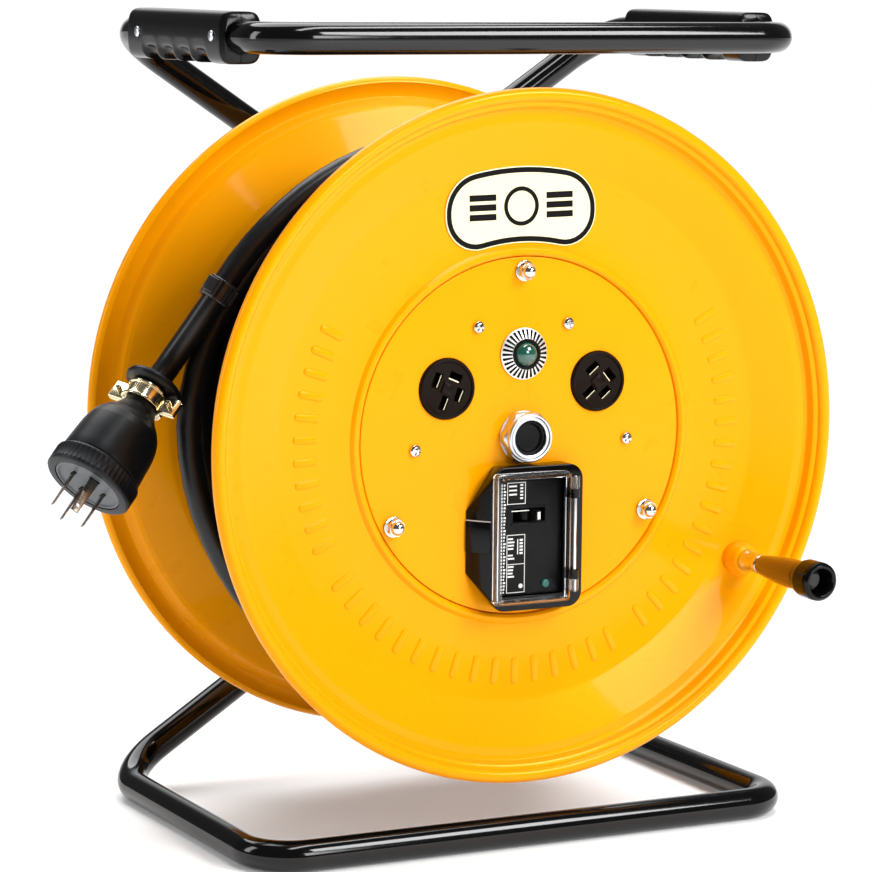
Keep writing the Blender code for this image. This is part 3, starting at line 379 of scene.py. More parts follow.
YELLOW = surface("yellow_enamel", (0.90, 0.322, 0.0005), 0.28, coat=0.12, mottle=0.015, mottle_scale=10,
                 grain=0.00001, grain_scale=220, uneven=0.02, specular=0.4,
                 specular_colour=(1.0, 0.64, 0.03))
TUBE_BLACK = surface("black_enamel", (0.0016, 0.0016, 0.0018), 0.11, coat=0.10, specular=0.34, mottle=0.2,
                     mottle_scale=40, grain=0.000006, grain_scale=300)
PLASTIC = surface("black_moulding", (0.0028, 0.0028, 0.0030), 0.34, specular=0.13, mottle=0.15,
                  mottle_scale=60, grain=0.00001, grain_scale=1800)
GRIP = surface("black_grip", (0.0024, 0.0024, 0.0026), 0.20, coat=0.05, specular=0.20, mottle=0.15,
               mottle_scale=60, grain=0.00001, grain_scale=1500)
GLOSS = surface("black_gloss_moulding", (0.0018, 0.0018, 0.0018), 0.12, coat=0.08, specular=0.16,
                mottle=0.15, grain=0.000006)
PHENOLIC = surface("dark_brown_phenolic", (0.0080, 0.0040, 0.0022), 0.30, specular=0.08, mottle=0.3,
                   mottle_scale=300, grain=0.00001, grain_scale=1500)
RUBBER = surface("cord_rubber", (0.0050, 0.0050, 0.0055), 0.34, specular=0.36, mottle=0.25, mottle_scale=60,
                 grain=0.00004, grain_scale=420, uneven=0.08)
PLUG_RUBBER = surface("plug_rubber", (0.0042, 0.0052, 0.0068), 0.40, specular=0.24, mottle=0.2,
                      mottle_scale=90, grain=0.00002, grain_scale=700, uneven=0.07)
ZINC = surface("zinc_plate", (0.66, 0.68, 0.72), 0.30, metallic=1.0, mottle=0.08, mottle_scale=120,
               grain=0.000008, grain_scale=400, uneven=0.05)
CHROME = surface("chrome_plate", (0.66, 0.66, 0.66), 0.10, metallic=1.0, mottle=0.04, mottle_scale=200,
                 uneven=0.03)
BRASS = surface("pale_brass_plate", (0.86, 0.74, 0.48), 0.16, metallic=1.0, mottle=0.06, mottle_scale=160,
                grain=0.000004, grain_scale=600, uneven=0.04)
BLADE = surface("contact_metal", (0.16, 0.135, 0.11), 0.24, metallic=1.0, mottle=0.10, mottle_scale=160,
                uneven=0.05)
NYLON = surface("white_nylon", (0.78, 0.77, 0.72), 0.42, mottle=0.05, mottle_scale=120, grain=0.00001)
CREAM = surface("cream_enamel", (0.90, 0.80, 0.50), 0.30, coat=0.3, mottle=0.03, mottle_scale=70,
                grain=0.00001, grain_scale=900)
PRINT_BLACK = surface("black_print", (0.004, 0.0035, 0.0035), 0.50, specular=0.08, mottle=0.2,
                      mottle_scale=200)
PRINT_WHITE = surface("white_print", (0.72, 0.72, 0.70), 0.45, mottle=0.12, mottle_scale=400)
BROWN = surface("brown_handle", (0.085, 0.018, 0.003), 0.22, coat=0.7, mottle=0.28, mottle_scale=46,
                grain=0.00001, grain_scale=600)
# Pale grey for a painted highlight line on the breaker housing's wing, standing in for light caught on an
# edge.
PAINTED_HIGHLIGHT = surface("painted_highlight_line", (0.55, 0.56, 0.57), 0.25, mottle=0.1, mottle_scale=300)
GREY = surface("grey_moulding", (0.095, 0.105, 0.115), 0.42, specular=0.3, mottle=0.1, mottle_scale=200,
               grain=0.00001)
SATIN = surface("satin_plate", (0.88, 0.88, 0.87), 0.48, metallic=1.0, mottle=0.05, mottle_scale=200)
BAND = surface("band_moulding", (0.020, 0.020, 0.022), 0.24, specular=0.6, mottle=0.15, mottle_scale=120)
GREEN = surface("green_lens", (0.006, 0.075, 0.052), 0.08, coat=1.0, mottle=0.3, mottle_scale=500)
GREEN_MATT = surface("green_moulding", (0.01, 0.10, 0.08), 0.35, mottle=0.15, mottle_scale=400)
CLEAR = surface("clear_moulding", (0.97, 0.97, 0.97), 0.03, transmission=1.0, ior=1.49, mottle=0.01,
                uneven=0.015)
FLOOR = surface("pale_floor", (0.90, 0.90, 0.90), 0.6, mottle=0.01, mottle_scale=2, glow=0.14)


# ---------------------------------------------------------------- camera and light

CAMERA_PLACE = (-0.9910, -1.8100, 0.2837)
CAMERA_TURN = (82.216, -0.537, -26.941)
CAMERA_SENSOR, CAMERA_LENS = 36.0, 143.6
BRIGHT_SIDE = (0.453, 0.891, 0.0)
BRIGHT_EDGE = (0.80, 0.93)
SKY_STRENGTH = (0.11, 1.05)
SUN_POWER, SUN_ANGLE, SUN_TOWARD = 2.7, 50, (-0.10, -0.55, -1.0)
AREA_LIGHTS = (("key", (0.9, 0.9), (1.1, -1.7, 1.5), 50), ("fill", (0.7, 0.7), (0.45, -2.3, 0.7), 18),
               ("edge", (0.35, 1.1), (-1.6, 0.5, 0.6), 8), ("overhead", (1.5, 0.22), (0.2, -0.3, 1.5), 14))
FLOOR_HALF = 12.0
FLOOR_DROP = 0.0005


def make_camera():
    """Camera in front, to the left and a little above, with a long lens."""
    data = bpy.data.cameras.new("camera")
    data.sensor_width = CAMERA_SENSOR
    data.lens = CAMERA_LENS
    item = bpy.data.objects.new("camera", data)
    bpy.context.scene.collection.objects.link(item)
    item.location = ORIGIN + Vector(CAMERA_PLACE)
    item.rotation_euler = [math.radians(angle) for angle in CAMERA_TURN]
    bpy.context.scene.camera = item


def area_light(name, size, place, power):
    """A soft rectangle of light aimed at the axle."""
    data = bpy.data.lights.new(name, "AREA")
    data.shape = "RECTANGLE"
    data.size, data.size_y = size
    data.energy = power
    item = bpy.data.objects.new(name, data)
    bpy.context.scene.collection.objects.link(item)
    item.location = ORIGIN + Vector(place)
    item.rotation_euler = (ORIGIN - item.location).to_track_quat("-Z", "Y").to_euler()


def make_world():
    """Dim grey surroundings with one bright side, behind the object."""
    world = bpy.data.worlds.new("studio")
    world.use_nodes = True
    nodes, links = world.node_tree.nodes, world.node_tree.links
    sky = nodes["Background"]
    place = nodes.new("ShaderNodeTexCoord")
    facing = nodes.new("ShaderNodeVectorMath")
    facing.operation = "DOT_PRODUCT"
    facing.inputs[1].default_value = BRIGHT_SIDE
    links.new(place.outputs["Generated"], facing.inputs[0])
    spread = nodes.new("ShaderNodeMapRange")
    spread.interpolation_type = "SMOOTHSTEP"
    for name, value in zip(("From Min", "From Max", "To Min", "To Max"), BRIGHT_EDGE + SKY_STRENGTH):
        spread.inputs[name].default_value = value
    links.new(facing.outputs["Value"], spread.inputs["Value"])
    links.new(spread.outputs["Result"], sky.inputs["Strength"])
    sky.inputs["Color"].default_value = (1.0, 1.0, 1.0, 1.0)
    bpy.context.scene.world = world
    bpy.context.scene.view_settings.view_transform = "Standard"


def sun_light():
    data = bpy.data.lights.new("sun", "SUN")
    data.energy = SUN_POWER
    data.angle = math.radians(SUN_ANGLE)
    item = bpy.data.objects.new("sun", data)
    bpy.context.scene.collection.objects.link(item)
    item.rotation_euler = Vector(SUN_TOWARD).to_track_quat("-Z", "Y").to_euler()


def make_room():
    shape = bmesh.new()
    bmesh.ops.create_grid(shape, x_segments=8, y_segments=8, size=FLOOR_HALF)
    mesh = bpy.data.meshes.new("floor")
    shape.to_mesh(mesh)
    shape.free()
    floor = bpy.data.objects.new("floor", mesh)
    bpy.context.scene.collection.objects.link(floor)
    floor.location = (0.0, 0.0, -FLOOR_DROP)
    floor.data.materials.append(FLOOR)
    make_world()
    sun_light()
    for light in AREA_LIGHTS:
        area_light(*light)


make_camera()
make_room()


# ---------------------------------------------------------------- cord

CORD_R = 0.00775
TURN_PITCH = 0.0157
LAYER_STEP = 0.0136
CORE_R = 0.106
COIL_R = 0.164
TURN_STEPS = 40
LOOSE_OUTS = (-0.0340, -0.0500, -0.0660, -0.0820, -0.1600)
LOOSE_END = -0.1243       # where the loose layer ends, under the last turn
LAYER_TURNS = (10, 10, 10)
WINDING_SPARE = 0.0002
SHORT_STEP, LONG_STEP = 0.80, 0.05       # share of a turn after which the cord moves to the next
WOUND_END = 60
CLIMB_STEP = 6
TAIL_ANGLES = range(60, 151, 5)
TAIL_LIE = COIL_R + CORD_R + GAP
TAIL_LIFT = 0.0027
TAIL_OUT = -0.1162
TAIL_DRIFT = -0.0060
TAIL_LIFT_FROM = 130
TAIL_LEAD = 0.0040
TAIL_HANDLE = 0.35
TAIL_STEPS = 12
PLUG_NECK = Vector((-0.1905, 0.0276, -0.1350))
PLUG_AXIS = Vector((-0.661, -0.701, 0.269)).normalized()
PLUG_LENGTH = 0.081


def ease(value):
    value = min(max(value, 0.0), 1.0)
    return value * value * (3 - 2 * value)


def coil_points():
    """Three full layers of turns, then an outer one of fewer, looser turns; each turn is flat but
    for one short step to the next."""
    seat = Seat("cord_coil")
    points = []
    first = seat.front - CORD_R - WINDING_SPARE
    width = first - (seat.back + CORD_R + WINDING_SPARE)
    inner = CORE_R + CORD_R + GAP
    layers = []
    for layer, count in enumerate(LAYER_TURNS):
        pitch = (width - TURN_PITCH / 2) / (count - 1)
        start = first - TURN_PITCH / 2 * (layer % 2)
        outs = [start - pitch * i for i in range(count)]
        layers.append((inner + LAYER_STEP * layer, outs if layer % 2 else outs[::-1]))
    layers.append((inner + LAYER_STEP * len(LAYER_TURNS), LOOSE_OUTS))
    angle = WOUND_END - 360.0 * sum(len(outs) for _, outs in layers)
    for index, (radius, outs) in enumerate(layers):
        above = layers[index + 1] if index + 1 < len(layers) else (radius, (LOOSE_END,))
        for turn, out in enumerate(outs):
            last = turn == len(outs) - 1
            target = above[1][0] if last else outs[turn + 1]
            start = SHORT_STEP if abs(target - out) < 2 * TURN_PITCH else LONG_STEP
            for step in range(TURN_STEPS):
                share = ease((step / TURN_STEPS - start) / (1 - start))
                rise = share * (above[0] - radius) if last else 0.0
                here = angle + 360.0 * step / TURN_STEPS
                points.append(Vector((*polar(radius + rise, here), out + (target - out) * share)))
            angle += 360.0
    return points


def tail_points():
    """The last turn of cord over the coil, then its free end down to the plug."""
    points = []
    for angle in TAIL_ANGLES:
        lift = TAIL_LIFT * max(0.0, (angle - TAIL_LIFT_FROM) / (TAIL_ANGLES[-1] - TAIL_LIFT_FROM)) ** 1.5
        out = TAIL_OUT + TAIL_DRIFT * (angle - TAIL_ANGLES[0]) / (TAIL_ANGLES[-1] - TAIL_ANGLES[0])
        points.append(Vector((*polar(TAIL_LIE + lift, angle), out)))
    start = points[-1]
    leave = (points[-1] - points[-2]).normalized()
    end = PLUG_NECK - PLUG_AXIS * (TAIL_LEAD + GAP)
    reach = (end - start).length * TAIL_HANDLE
    first, second = start + leave * reach, end - PLUG_AXIS * reach
    for i in range(1, TAIL_STEPS + 1):
        step = i / TAIL_STEPS
        points.append((1 - step) ** 3 * start + 3 * (1 - step) ** 2 * step * first
                      + 3 * (1 - step) * step ** 2 * second + step ** 3 * end)
    return points + [end + PLUG_AXIS * TAIL_LEAD]


def last_turn(radius):
    """The turn that climbs from the loose layer and lies over the coil's left side."""
    keys = ((WOUND_END, radius, LOOSE_END), (138, radius + 0.0010, -0.1430), (180, 0.1690, -0.1350),
            (216, TAIL_LIE, -0.1220), (WOUND_END + 360, TAIL_LIE, TAIL_OUT))
    points = []
    for (from_angle, from_r, from_out), (to_angle, to_r, to_out) in zip(keys, keys[1:]):
        count = (to_angle - from_angle) // CLIMB_STEP
        for i in range(1, count + 1):
            share = ease(i / count)
            angle = from_angle + (to_angle - from_angle) * i / count
            points.append(Vector((*polar(from_r + (to_r - from_r) * share, angle),
                                  from_out + (to_out - from_out) * share)))
    return points[:-1]


def make_cord():
    """The whole cord as one piece, with its path in world metres and its length."""
    wound = coil_points()
    tail = tail_points()
    outer = math.hypot(wound[-1].x, wound[-1].y)
    route = wound + last_turn(outer) + tail
    world = [SPACE @ point for point in route]
    length = sum((b - a).length for a, b in zip(world, world[1:]))
    item = piece("cord", sweep(route, CORD_R, 20), "drum", RUBBER,
                 nodes=("cord_coil", "cord_tail"), sharp=60)
    return item, world, length


CORD, CORD_PATH, CORD_LENGTH = make_cord()


# ---------------------------------------------------------------- frame

TUBE_R = 0.0094
HUB_X = 0.036
HUB_BEND = 0.1465
TUBE_BENDS = (0.040, 0.034, 0.028, 0.028, 0.034, 0.040)
TUBE_FLAT = math.cos(math.pi / 12)       # how far the flat of the CAD tube is from its axis


def bent(points, radii, count=12):
    """A run of straight lines with each corner bent to its radius."""
    run = [Vector(points[0])]
    for before, corner, after, radius in zip(points, points[1:], points[2:], radii):
        corner = Vector(corner)
        back, ahead = (Vector(before) - corner).normalized(), (Vector(after) - corner).normalized()
        half = back.angle(ahead) / 2
        middle = corner + (back + ahead).normalized() * (radius / math.sin(half))
        reach = radius / math.tan(half)
        start = (corner + back * reach - middle).normalized()
        end = (corner + ahead * reach - middle).normalized()
        run += [middle + start.slerp(end, i / (count - 1)) * radius for i in range(count)]
    run.append(Vector(points[-1]))
    return run


def frame_tube(node, sign):
    """One of the two bent tubes, going up or down from the hub."""
    seat = Seat(node)
    level = seat.top - TUBE_R if sign > 0 else seat.bottom + TUBE_R * TUBE_FLAT
    side = seat.right - TUBE_R * TUBE_FLAT
    rear, front = seat.back + TUBE_R, seat.front - TUBE_R
    half = [(HUB_X, sign * 0.001, rear), (HUB_X, sign * HUB_BEND, rear), (side, level, rear),
            (side, level, front)]
    points = half + [(-x, y, z) for x, y, z in reversed(half)]
    shape = sweep(bent(points, TUBE_BENDS), TUBE_R, 32)
    piece(f"{node}_bar", shape, "stand", TUBE_BLACK, nodes=(node,), sharp=60)
    return side, level


HANDLE_X, HANDLE_Y = frame_tube("handle_tube", 1)
frame_tube("base_tube", -1)

GRIP_MOUTH = 0.0022
SCALLOP_START, SCALLOP_PITCH = 0.033, 0.025
SCALLOP_DEPTH, SCALLOP_HALF = 0.0052, 0.44
SCALLOP_SPAN = (-0.45, 3.45)
GRIP_STEPS = 90
THIN = 0.0002


def grip_half(node, side, facing):
    """Half shell of a hand grip, with finger scallops below and a rounded mouth at each end."""
    seat = Seat(node)
    centre = (seat.top + seat.bottom) / 2
    half_w, half_h = seat.right - seat.left, (seat.top - seat.bottom) / 2
    start, end = seat.front, seat.back
    towards = side * facing
    rings = []
    for i in range(GRIP_STEPS + 1):
        share = i / GRIP_STEPS
        out = start + (end - start) * share
        from_end = min(share, 1 - share) * abs(end - start)
        mouth = GRIP_MOUTH * (1 - math.sqrt(max(0.0, 1 - (1 - min(from_end / GRIP_MOUTH, 1.0)) ** 2)))
        along = (start - SCALLOP_START - out) / SCALLOP_PITCH
        dip = 0.0
        if SCALLOP_SPAN[0] < along < SCALLOP_SPAN[1]:
            near = abs(along - round(along))
            dip = SCALLOP_DEPTH * max(0.0, 1 - (near / SCALLOP_HALF) ** 2) ** 0.6
        ring = []
        for k in range(25):
            angle = math.radians(-90 + 180 * k / 24)
            flat = abs(math.cos(angle)) ** 0.42
            x = (half_w - mouth) * flat
            y = centre + (half_h - mouth) * math.copysign(abs(math.sin(angle)) ** 0.62, math.sin(angle))
            low = max(0.0, -math.sin(angle) - 0.18) / 0.82
            y += dip * min(1.0, low * 1.5)
            x -= dip * 0.5 * min(1.0, low * 1.3) * flat
            ring.append((HANDLE_X * side + towards * max(x, THIN), y, out))
        for k in range(13):
            x, y = polar(TUBE_R + GAP, 90 - 180 * k / 12)
            ring.append((HANDLE_X * side + towards * max(x, THIN), HANDLE_Y + y, out))
        rings.append(ring)
    piece(f"{node}_shell", loft(rings), "stand", GRIP, nodes=(node,), sharp=40)


def screw(node, body, paint, radius, height, stem, place):
    """Pan head screw with a crossed recess; its local +Z is outwards."""
    profile = [(0.0, height), (radius * 0.55, height * 0.93), (radius * 0.85, height * 0.60), (radius, 0.0),
               (radius * 0.4, 0.0), (radius * 0.4, -stem), (0.0, -stem)]
    item = piece(f"{node}_head", lathe(rounded(profile, radius * 0.2), 40), body, paint, place, (node,))
    reach, width = radius * 0.62, radius * 0.13
    for x, y in ((reach, width), (width, reach)):
        cut(item, block((-x, -y, height * 0.45), (x, y, height * 1.5)), place)


for side_name, side in (("left", -1), ("right", 1)):
    grip_half(f"grip_{side_name}_outer", side, 1)
    grip_half(f"grip_{side_name}_inner", side, -1)
    for index in (1, 2):
        node = f"grip_{side_name}_screw_{index}"
        seat = Seat(node)
        shell = Seat(f"grip_{side_name}_outer")
        face = shell.right if side > 0 else shell.left
        place = at(face, seat.y, (seat.front + seat.back) / 2, math.pi / 2 * side, "Y")
        screw(node, "stand", ZINC, 0.0034, 0.0016, 0.002, place)


def hub_plate():
    """Plate that joins the tubes behind the drum, with its weld beads."""
    seat = Seat("hub_plate")
    outline = rectangle((seat.left, seat.bottom), (seat.right, seat.top), 0.012, 6)
    back, front = seat.back, seat.front
    shape = plate([outline, circle(0.0130, 48)[::-1]], back, front, 0.0008)
    for x in (-HUB_X, HUB_X):
        for y in (-0.056, -0.022, 0.022, 0.056):
            bead = [(x + 0.0075, y + 0.004 * step, back + 0.0002 * (step % 2))
                    for step in (-1.5, -0.5, 0.5, 1.5)]
            shape = joined(shape, sweep(bead, 0.0017, 10))
    piece("hub_plate_welded", shape, "stand", TUBE_BLACK, nodes=("hub_plate",))


hub_plate()


def axle():
    """Axle tube with its flange on the hub plate, and the cup that closes its front end."""
    seat = Seat("axle")
    flange = Seat("hub_plate").front + GAP
    outer, bore, rim, thick = 0.0127, 0.0106, 0.034, 0.005
    profile = [(bore, seat.front), (outer, seat.front), (outer, flange + thick), (rim, flange + thick),
               (rim, flange), (outer, flange), (outer, seat.back), (bore, seat.back)]
    piece("axle_tube", lathe(rounded(profile, 0.0005, True), 72, True), "stand", ZINC,
          nodes=("axle",))
    plug = Seat("axle_plug")
    cup = [(0.0, plug.front - 0.0022), (0.0080, plug.front - 0.0022), (0.0090, plug.front),
           (plug.radius, plug.front), (plug.radius, plug.back), (0.0, plug.back)]
    piece("axle_plug_cup", lathe(rounded(cup, 0.0005), 48), "stand", PLASTIC,
          nodes=("axle_plug",))


def axle_nut():
    """Hexagon lock nut with a turned front ring and chamfered corners."""
    seat = Seat("axle_nut")
    front, back = seat.front, seat.back
    ring = [(0.0130, front - 0.0002), (0.0140, front), (0.0147, front - 0.0006), (0.0149, front - 0.0014),
            (0.0149, front - 0.0038), (0.0130, front - 0.0040)]
    collar = lathe(rounded(ring, 0.0003, True, 3), 72, True)
    steps = 96
    levels = ((front - 0.0036, 0.0152), (front - 0.0040, 0.0157), (front - 0.0048, 0.0163),
              (back + 0.0010, 0.0163), (back + 0.0004, 0.0161), (back, 0.0158))
    inner = [[(x, y, z) for x, y in circle(0.0130, steps)] for z in (back, front - 0.0036)]
    body = welded(loft([inner[1]] + hex_rings(0.0170, levels, steps) + inner, caps=False), 0.00001)
    piece("axle_nut_hex", joined(body, collar), "stand", ZINC, nodes=("axle_nut",),
          sharp=28)


axle()
axle_nut()


# ---------------------------------------------------------------- drum

BEAD_R = 0.0042


def sheet_profile(front, back):
    """Section of a pressed flange: its front, the rolled rim and its back."""
    bead = arc((0.2058, -BEAD_R), BEAD_R, 170, -80, 16)
    return rounded(front, 0.0009)[:-1] + [front[-1]] + bead + rounded(back, 0.0006)


FRONT_SHEET = ([(0.1610, -0.0195), (0.1632, -0.0186), (0.1896, -0.0100), (0.1945, -0.0098),
                (0.1972, -0.0090), (0.1988, -0.0046), (0.2006, -0.0036)],
               [(0.2022, -0.0070), (0.2004, -0.0076), (0.1984, -0.0112), (0.1890, -0.0116),
                (0.1640, -0.0199), (0.1618, -0.0211)])
REAR_SHEET = ([(0.1610, -0.0195), (0.1632, -0.0188), (0.1900, -0.0120), (0.1925, -0.0108),
               (0.1955, -0.0052), (0.1975, -0.0040), (0.2010, -0.0038)],
              [(0.2018, -0.0060), (0.1970, -0.0064), (0.1922, -0.0126), (0.1895, -0.0138),
               (0.1640, -0.0204), (0.1618, -0.0211)])
DASH_ARCS = ((152, 204), (214, 296), (306, 388))
DASH_PITCH = 5.4
DASH_R = 0.1440
DASH_SIZE = (0.0165, 0.0048, 0.0008)
DISH_STEPS = 256
BOSS_BACK = -0.0187
SEAT_OUT = Seat("socket_panel").back - GAP
WEB_OUT = -0.0195
SHEET = 0.0016


def dash(angle):
    """One plain pressed rib, standing on the flat and pointing at the axle."""
    length, width, height = DASH_SIZE
    rings = []
    for rise, grow in ((-0.0002, 0.0004), (0.15 * height, 0.0), (0.75 * height, -0.0004), (height, -0.0008)):
        loop = rectangle((-length / 2 - grow, -width / 2 - grow), (length / 2 + grow, width / 2 + grow),
                         width / 2.2 + grow, 4)
        rings.append([(x, y, WEB_OUT + rise) for x, y in loop])
    return moved(loft(rings), at(*polar(DASH_R, angle), 0.0, math.radians(angle)))


def front_flange():
    """Pressed front flange with its seat for the panel, its ribs and the crank's boss."""
    seat = [(0.0950, SEAT_OUT), (0.1086, SEAT_OUT), (0.1092, -0.0186), (0.1110, -0.0173), (0.1132, -0.0175),
            (0.1152, WEB_OUT)]
    back = [(0.1158, WEB_OUT - SHEET), (0.1104, SEAT_OUT - SHEET), (0.0950, SEAT_OUT - SHEET)]
    profile = rounded(seat, 0.0012) + sheet_profile(*FRONT_SHEET) + back
    shape = lathe(profile, DISH_STEPS, True)
    for start, end in DASH_ARCS:
        count = round((end - start) / DASH_PITCH)
        ribs = [dash(start + (end - start) * i / count) for i in range(count + 1)]
        shape = joined(shape, *ribs)
    spindle = Seat("crank_spindle")
    foot = Seat("crank_ferrule").back - GAP
    boss = [(0.0, foot), (0.0075, foot), (0.0086, foot - 0.0014), (0.0096, -0.0095), (0.0106, -0.0130),
            (0.0106, BOSS_BACK), (0.0, BOSS_BACK)]
    shape = joined(shape, moved(lathe(rounded(boss, 0.0008), 64), at(spindle.x, spindle.y)))
    piece("front_flange_pressing", shape, "drum", YELLOW, nodes=("front_flange",), sharp=42)


def rear_flange():
    """The front's pressing mirrored, flat to its hub."""
    width = Seat("rear_flange").back
    hub = 0.019
    mirrored = [(r, width - h) for r, h in sheet_profile(*REAR_SHEET)]
    profile = [(hub, width - WEB_OUT)] + mirrored + [(hub, width - WEB_OUT + SHEET)]
    piece("rear_flange_pressing", lathe(profile, DISH_STEPS, True), "drum", YELLOW,
          nodes=("rear_flange",), sharp=42)


def socket_panel():
    """Round panel with holes for the axle, the lamp, the breaker and the sockets."""
    seat = Seat("socket_panel")
    lens, sockets = Seat("lamp_lens"), [Seat("socket_left"), Seat("socket_right")]
    half, low, high = 0.0218, -0.0888, -0.0297
    holes = [circle(0.0151, 64), circle(0.0111, 48, (lens.x, lens.y)),
             [(-half, low), (half, low), (half, high), (-half, high)]]
    holes += [circle(0.0185, 64, (seat_of.x, SOCKET_Y)) for seat_of in sockets]
    loops = [circle(seat.radius, DISH_STEPS)] + [hole[::-1] for hole in holes]
    piece("socket_panel_disc", plate(loops, seat.back, seat.front, 0.0004), "drum", YELLOW,
          nodes=("socket_panel",))


SOCKET_X, SOCKET_Y = 0.0515, 0.031
front_flange()
rear_flange()
socket_panel()


def dome_nut(node):
    """Washer, hexagon and dome of a cap nut on a tie rod."""
    seat = Seat(node)
    back = seat.back
    corner, ball, middle = 0.0056, 0.0046, back + 0.0056
    washer = [(0.0034, back), (0.0063, back), (0.0063, back + 0.0012), (0.0034, back + 0.0012)]
    levels = ((back + 0.0012, corner), (back + 0.0050, corner), (back + 0.0060, 0.0050))
    dome = [(0.0, middle + ball)]
    for angle in range(10, 91, 8):
        rise, reach = polar(ball, angle)
        dome.append((reach, middle + rise))
    dome.append((ball, back + 0.0050))
    shape = joined(lathe(rounded(washer, 0.0003, True), 48, True), loft(hex_rings(corner, levels, 72, 30)),
                   lathe(dome, 48))
    piece(f"{node}_cap", shape, "drum", CHROME, at(seat.x, seat.y), (node,), sharp=30)


for index in (1, 2, 3):
    dome_nut(f"dome_nut_{index}")
for index in (1, 2, 3, 4):
    seat = Seat(f"panel_screw_{index}")
    screw(f"panel_screw_{index}", "drum", CHROME, 0.0041, 0.0026, 0.006,
          at(seat.x, seat.y, Seat("socket_panel").front + GAP, math.radians(20 + 25 * index)))

# Each slot of a socket: its angle round the middle, the angle it lies at and its half length.
SLOTS = ((142, 67, 0.0047), (51, -23, 0.0042), (255, 67, 0.0044), (332, 67, 0.0042))
SLOT_R = 0.0088
SLOT_HALF = 0.0026
SOCKET_R = 0.0182
SOCKET_DEPTH = 0.028


def socket(node, side, turn):
    """Dark round socket: chamfered rim, sunk face and four contact slots round a raised square."""
    centre = (side * SOCKET_X, SOCKET_Y)
    front = Seat(node).front
    face = front - 0.0012
    profile = [(0.0, face), (0.0158, face), (0.0164, front), (SOCKET_R - 0.0006, front),
               (SOCKET_R, front - 0.0008), (SOCKET_R, front - SOCKET_DEPTH), (0.0, front - SOCKET_DEPTH)]
    item = piece(f"{node}_face", lathe(rounded(profile, 0.0003), 96), "drum",
                 PHENOLIC, at(*centre), (node,))
    strips = []
    for angle, lie, half in SLOTS:
        spot = at(*centre, 0.0, math.radians(turn)) @ at(*polar(SLOT_R, angle), 0.0, math.radians(lie))
        cut(item, block((-half, -SLOT_HALF, front - 0.016), (half, SLOT_HALF, front + 0.01), 0.0004), spot)
        strip = block((-half * 0.85, -0.0025, front - 0.0155), (half * 0.85, -0.0017, front - 0.0022))
        strips.append(moved(strip, spot))
    piece(f"{node}_contacts", joined(*strips), "drum", BRASS)
    middle = [[(x, y, z) for x, y in rectangle((-half, -half), (half, half), 0.0005, 3)]
              for half, z in ((0.0036, face - 0.0004), (0.0036, front - 0.0003), (0.0032, front))]
    piece(f"{node}_middle", loft(middle), "drum", PHENOLIC,
          at(*centre, 0.0, math.radians(turn - 23)))


socket("socket_left", -1, 0.0)
socket("socket_right", 1, -27.0)


def lamp():
    """Pilot lamp: a fluted bright bezel round a domed green lens."""
    lens = Seat("lamp_lens")
    face = Seat("socket_panel").front + GAP
    place = at(lens.x, lens.y)
    rim = [(0.0080, face + 0.0006), (0.0080, face + 0.0040), (0.0093, face + 0.0042), (0.0100, face + 0.0036),
           (0.0146, face + 0.0016), (0.0157, face + 0.0010), (0.0157, face), (0.0080, face)]
    piece("lamp_bezel_ring", lathe(rounded(rim, 0.0002, True, 3), 96, True), "drum", SATIN, place,
          ("lamp_bezel",))
    flutes = []
    count, inner, outer, drop = 30, 0.0095, 0.0150, 0.0022
    for i in range(count):
        rib = block((inner, -0.00066, -0.0004), (outer, 0.00066, 0.0003), 0.00012, 1)
        for vert in rib.verts:
            share = (vert.co.x - inner) / (outer - inner)
            vert.co.y *= 0.75 + 0.5 * share
            vert.co.z += face + 0.0038 - drop * share
        flutes.append(moved(rib, at(turn=2 * math.pi * i / count)))
    piece("lamp_bezel_flutes", joined(*flutes), "drum", PRINT_BLACK, place)
    throat = [(0.0078, face + 0.0036), (0.0078, face + 0.0043), (0.0094, face + 0.0046),
              (0.0094, face + 0.0036)]
    piece("lamp_bezel_throat", lathe(throat, 64, True), "drum", PRINT_BLACK, place)
    base = lens.back
    dome = [(0.0, base + 0.0078)]
    for angle in range(8, 91, 8):
        rise, reach = polar(1.0, angle)
        dome.append((0.0074 * reach, base + 0.0022 + 0.0056 * rise))
    dome += [(0.0076, base), (0.0, base)]
    piece("lamp_lens_dome", lathe(dome, 48), "drum", GREEN, place, ("lamp_lens",))


def front_bush():
    seat = Seat("front_bush")
    profile = [(0.0129, seat.front), (seat.radius, seat.front), (seat.radius, seat.front - 0.0013),
               (0.0148, seat.front - 0.0013), (0.0148, seat.back), (0.0129, seat.back)]
    piece("front_bush_ring", lathe(rounded(profile, 0.0003, True), 72, True), "drum", NYLON,
          nodes=("front_bush",))


lamp()
front_bush()

PLATE_TURN = math.radians(1.2)
PLATE_HALF, PLATE_LOW, PLATE_HIGH = 0.0509, 0.1170, 0.1628
PLATE_CORNERS = (0.0205, 0.0240)
PRINT_DEPTH, PRINT_HEIGHT = 0.0002, 0.00008


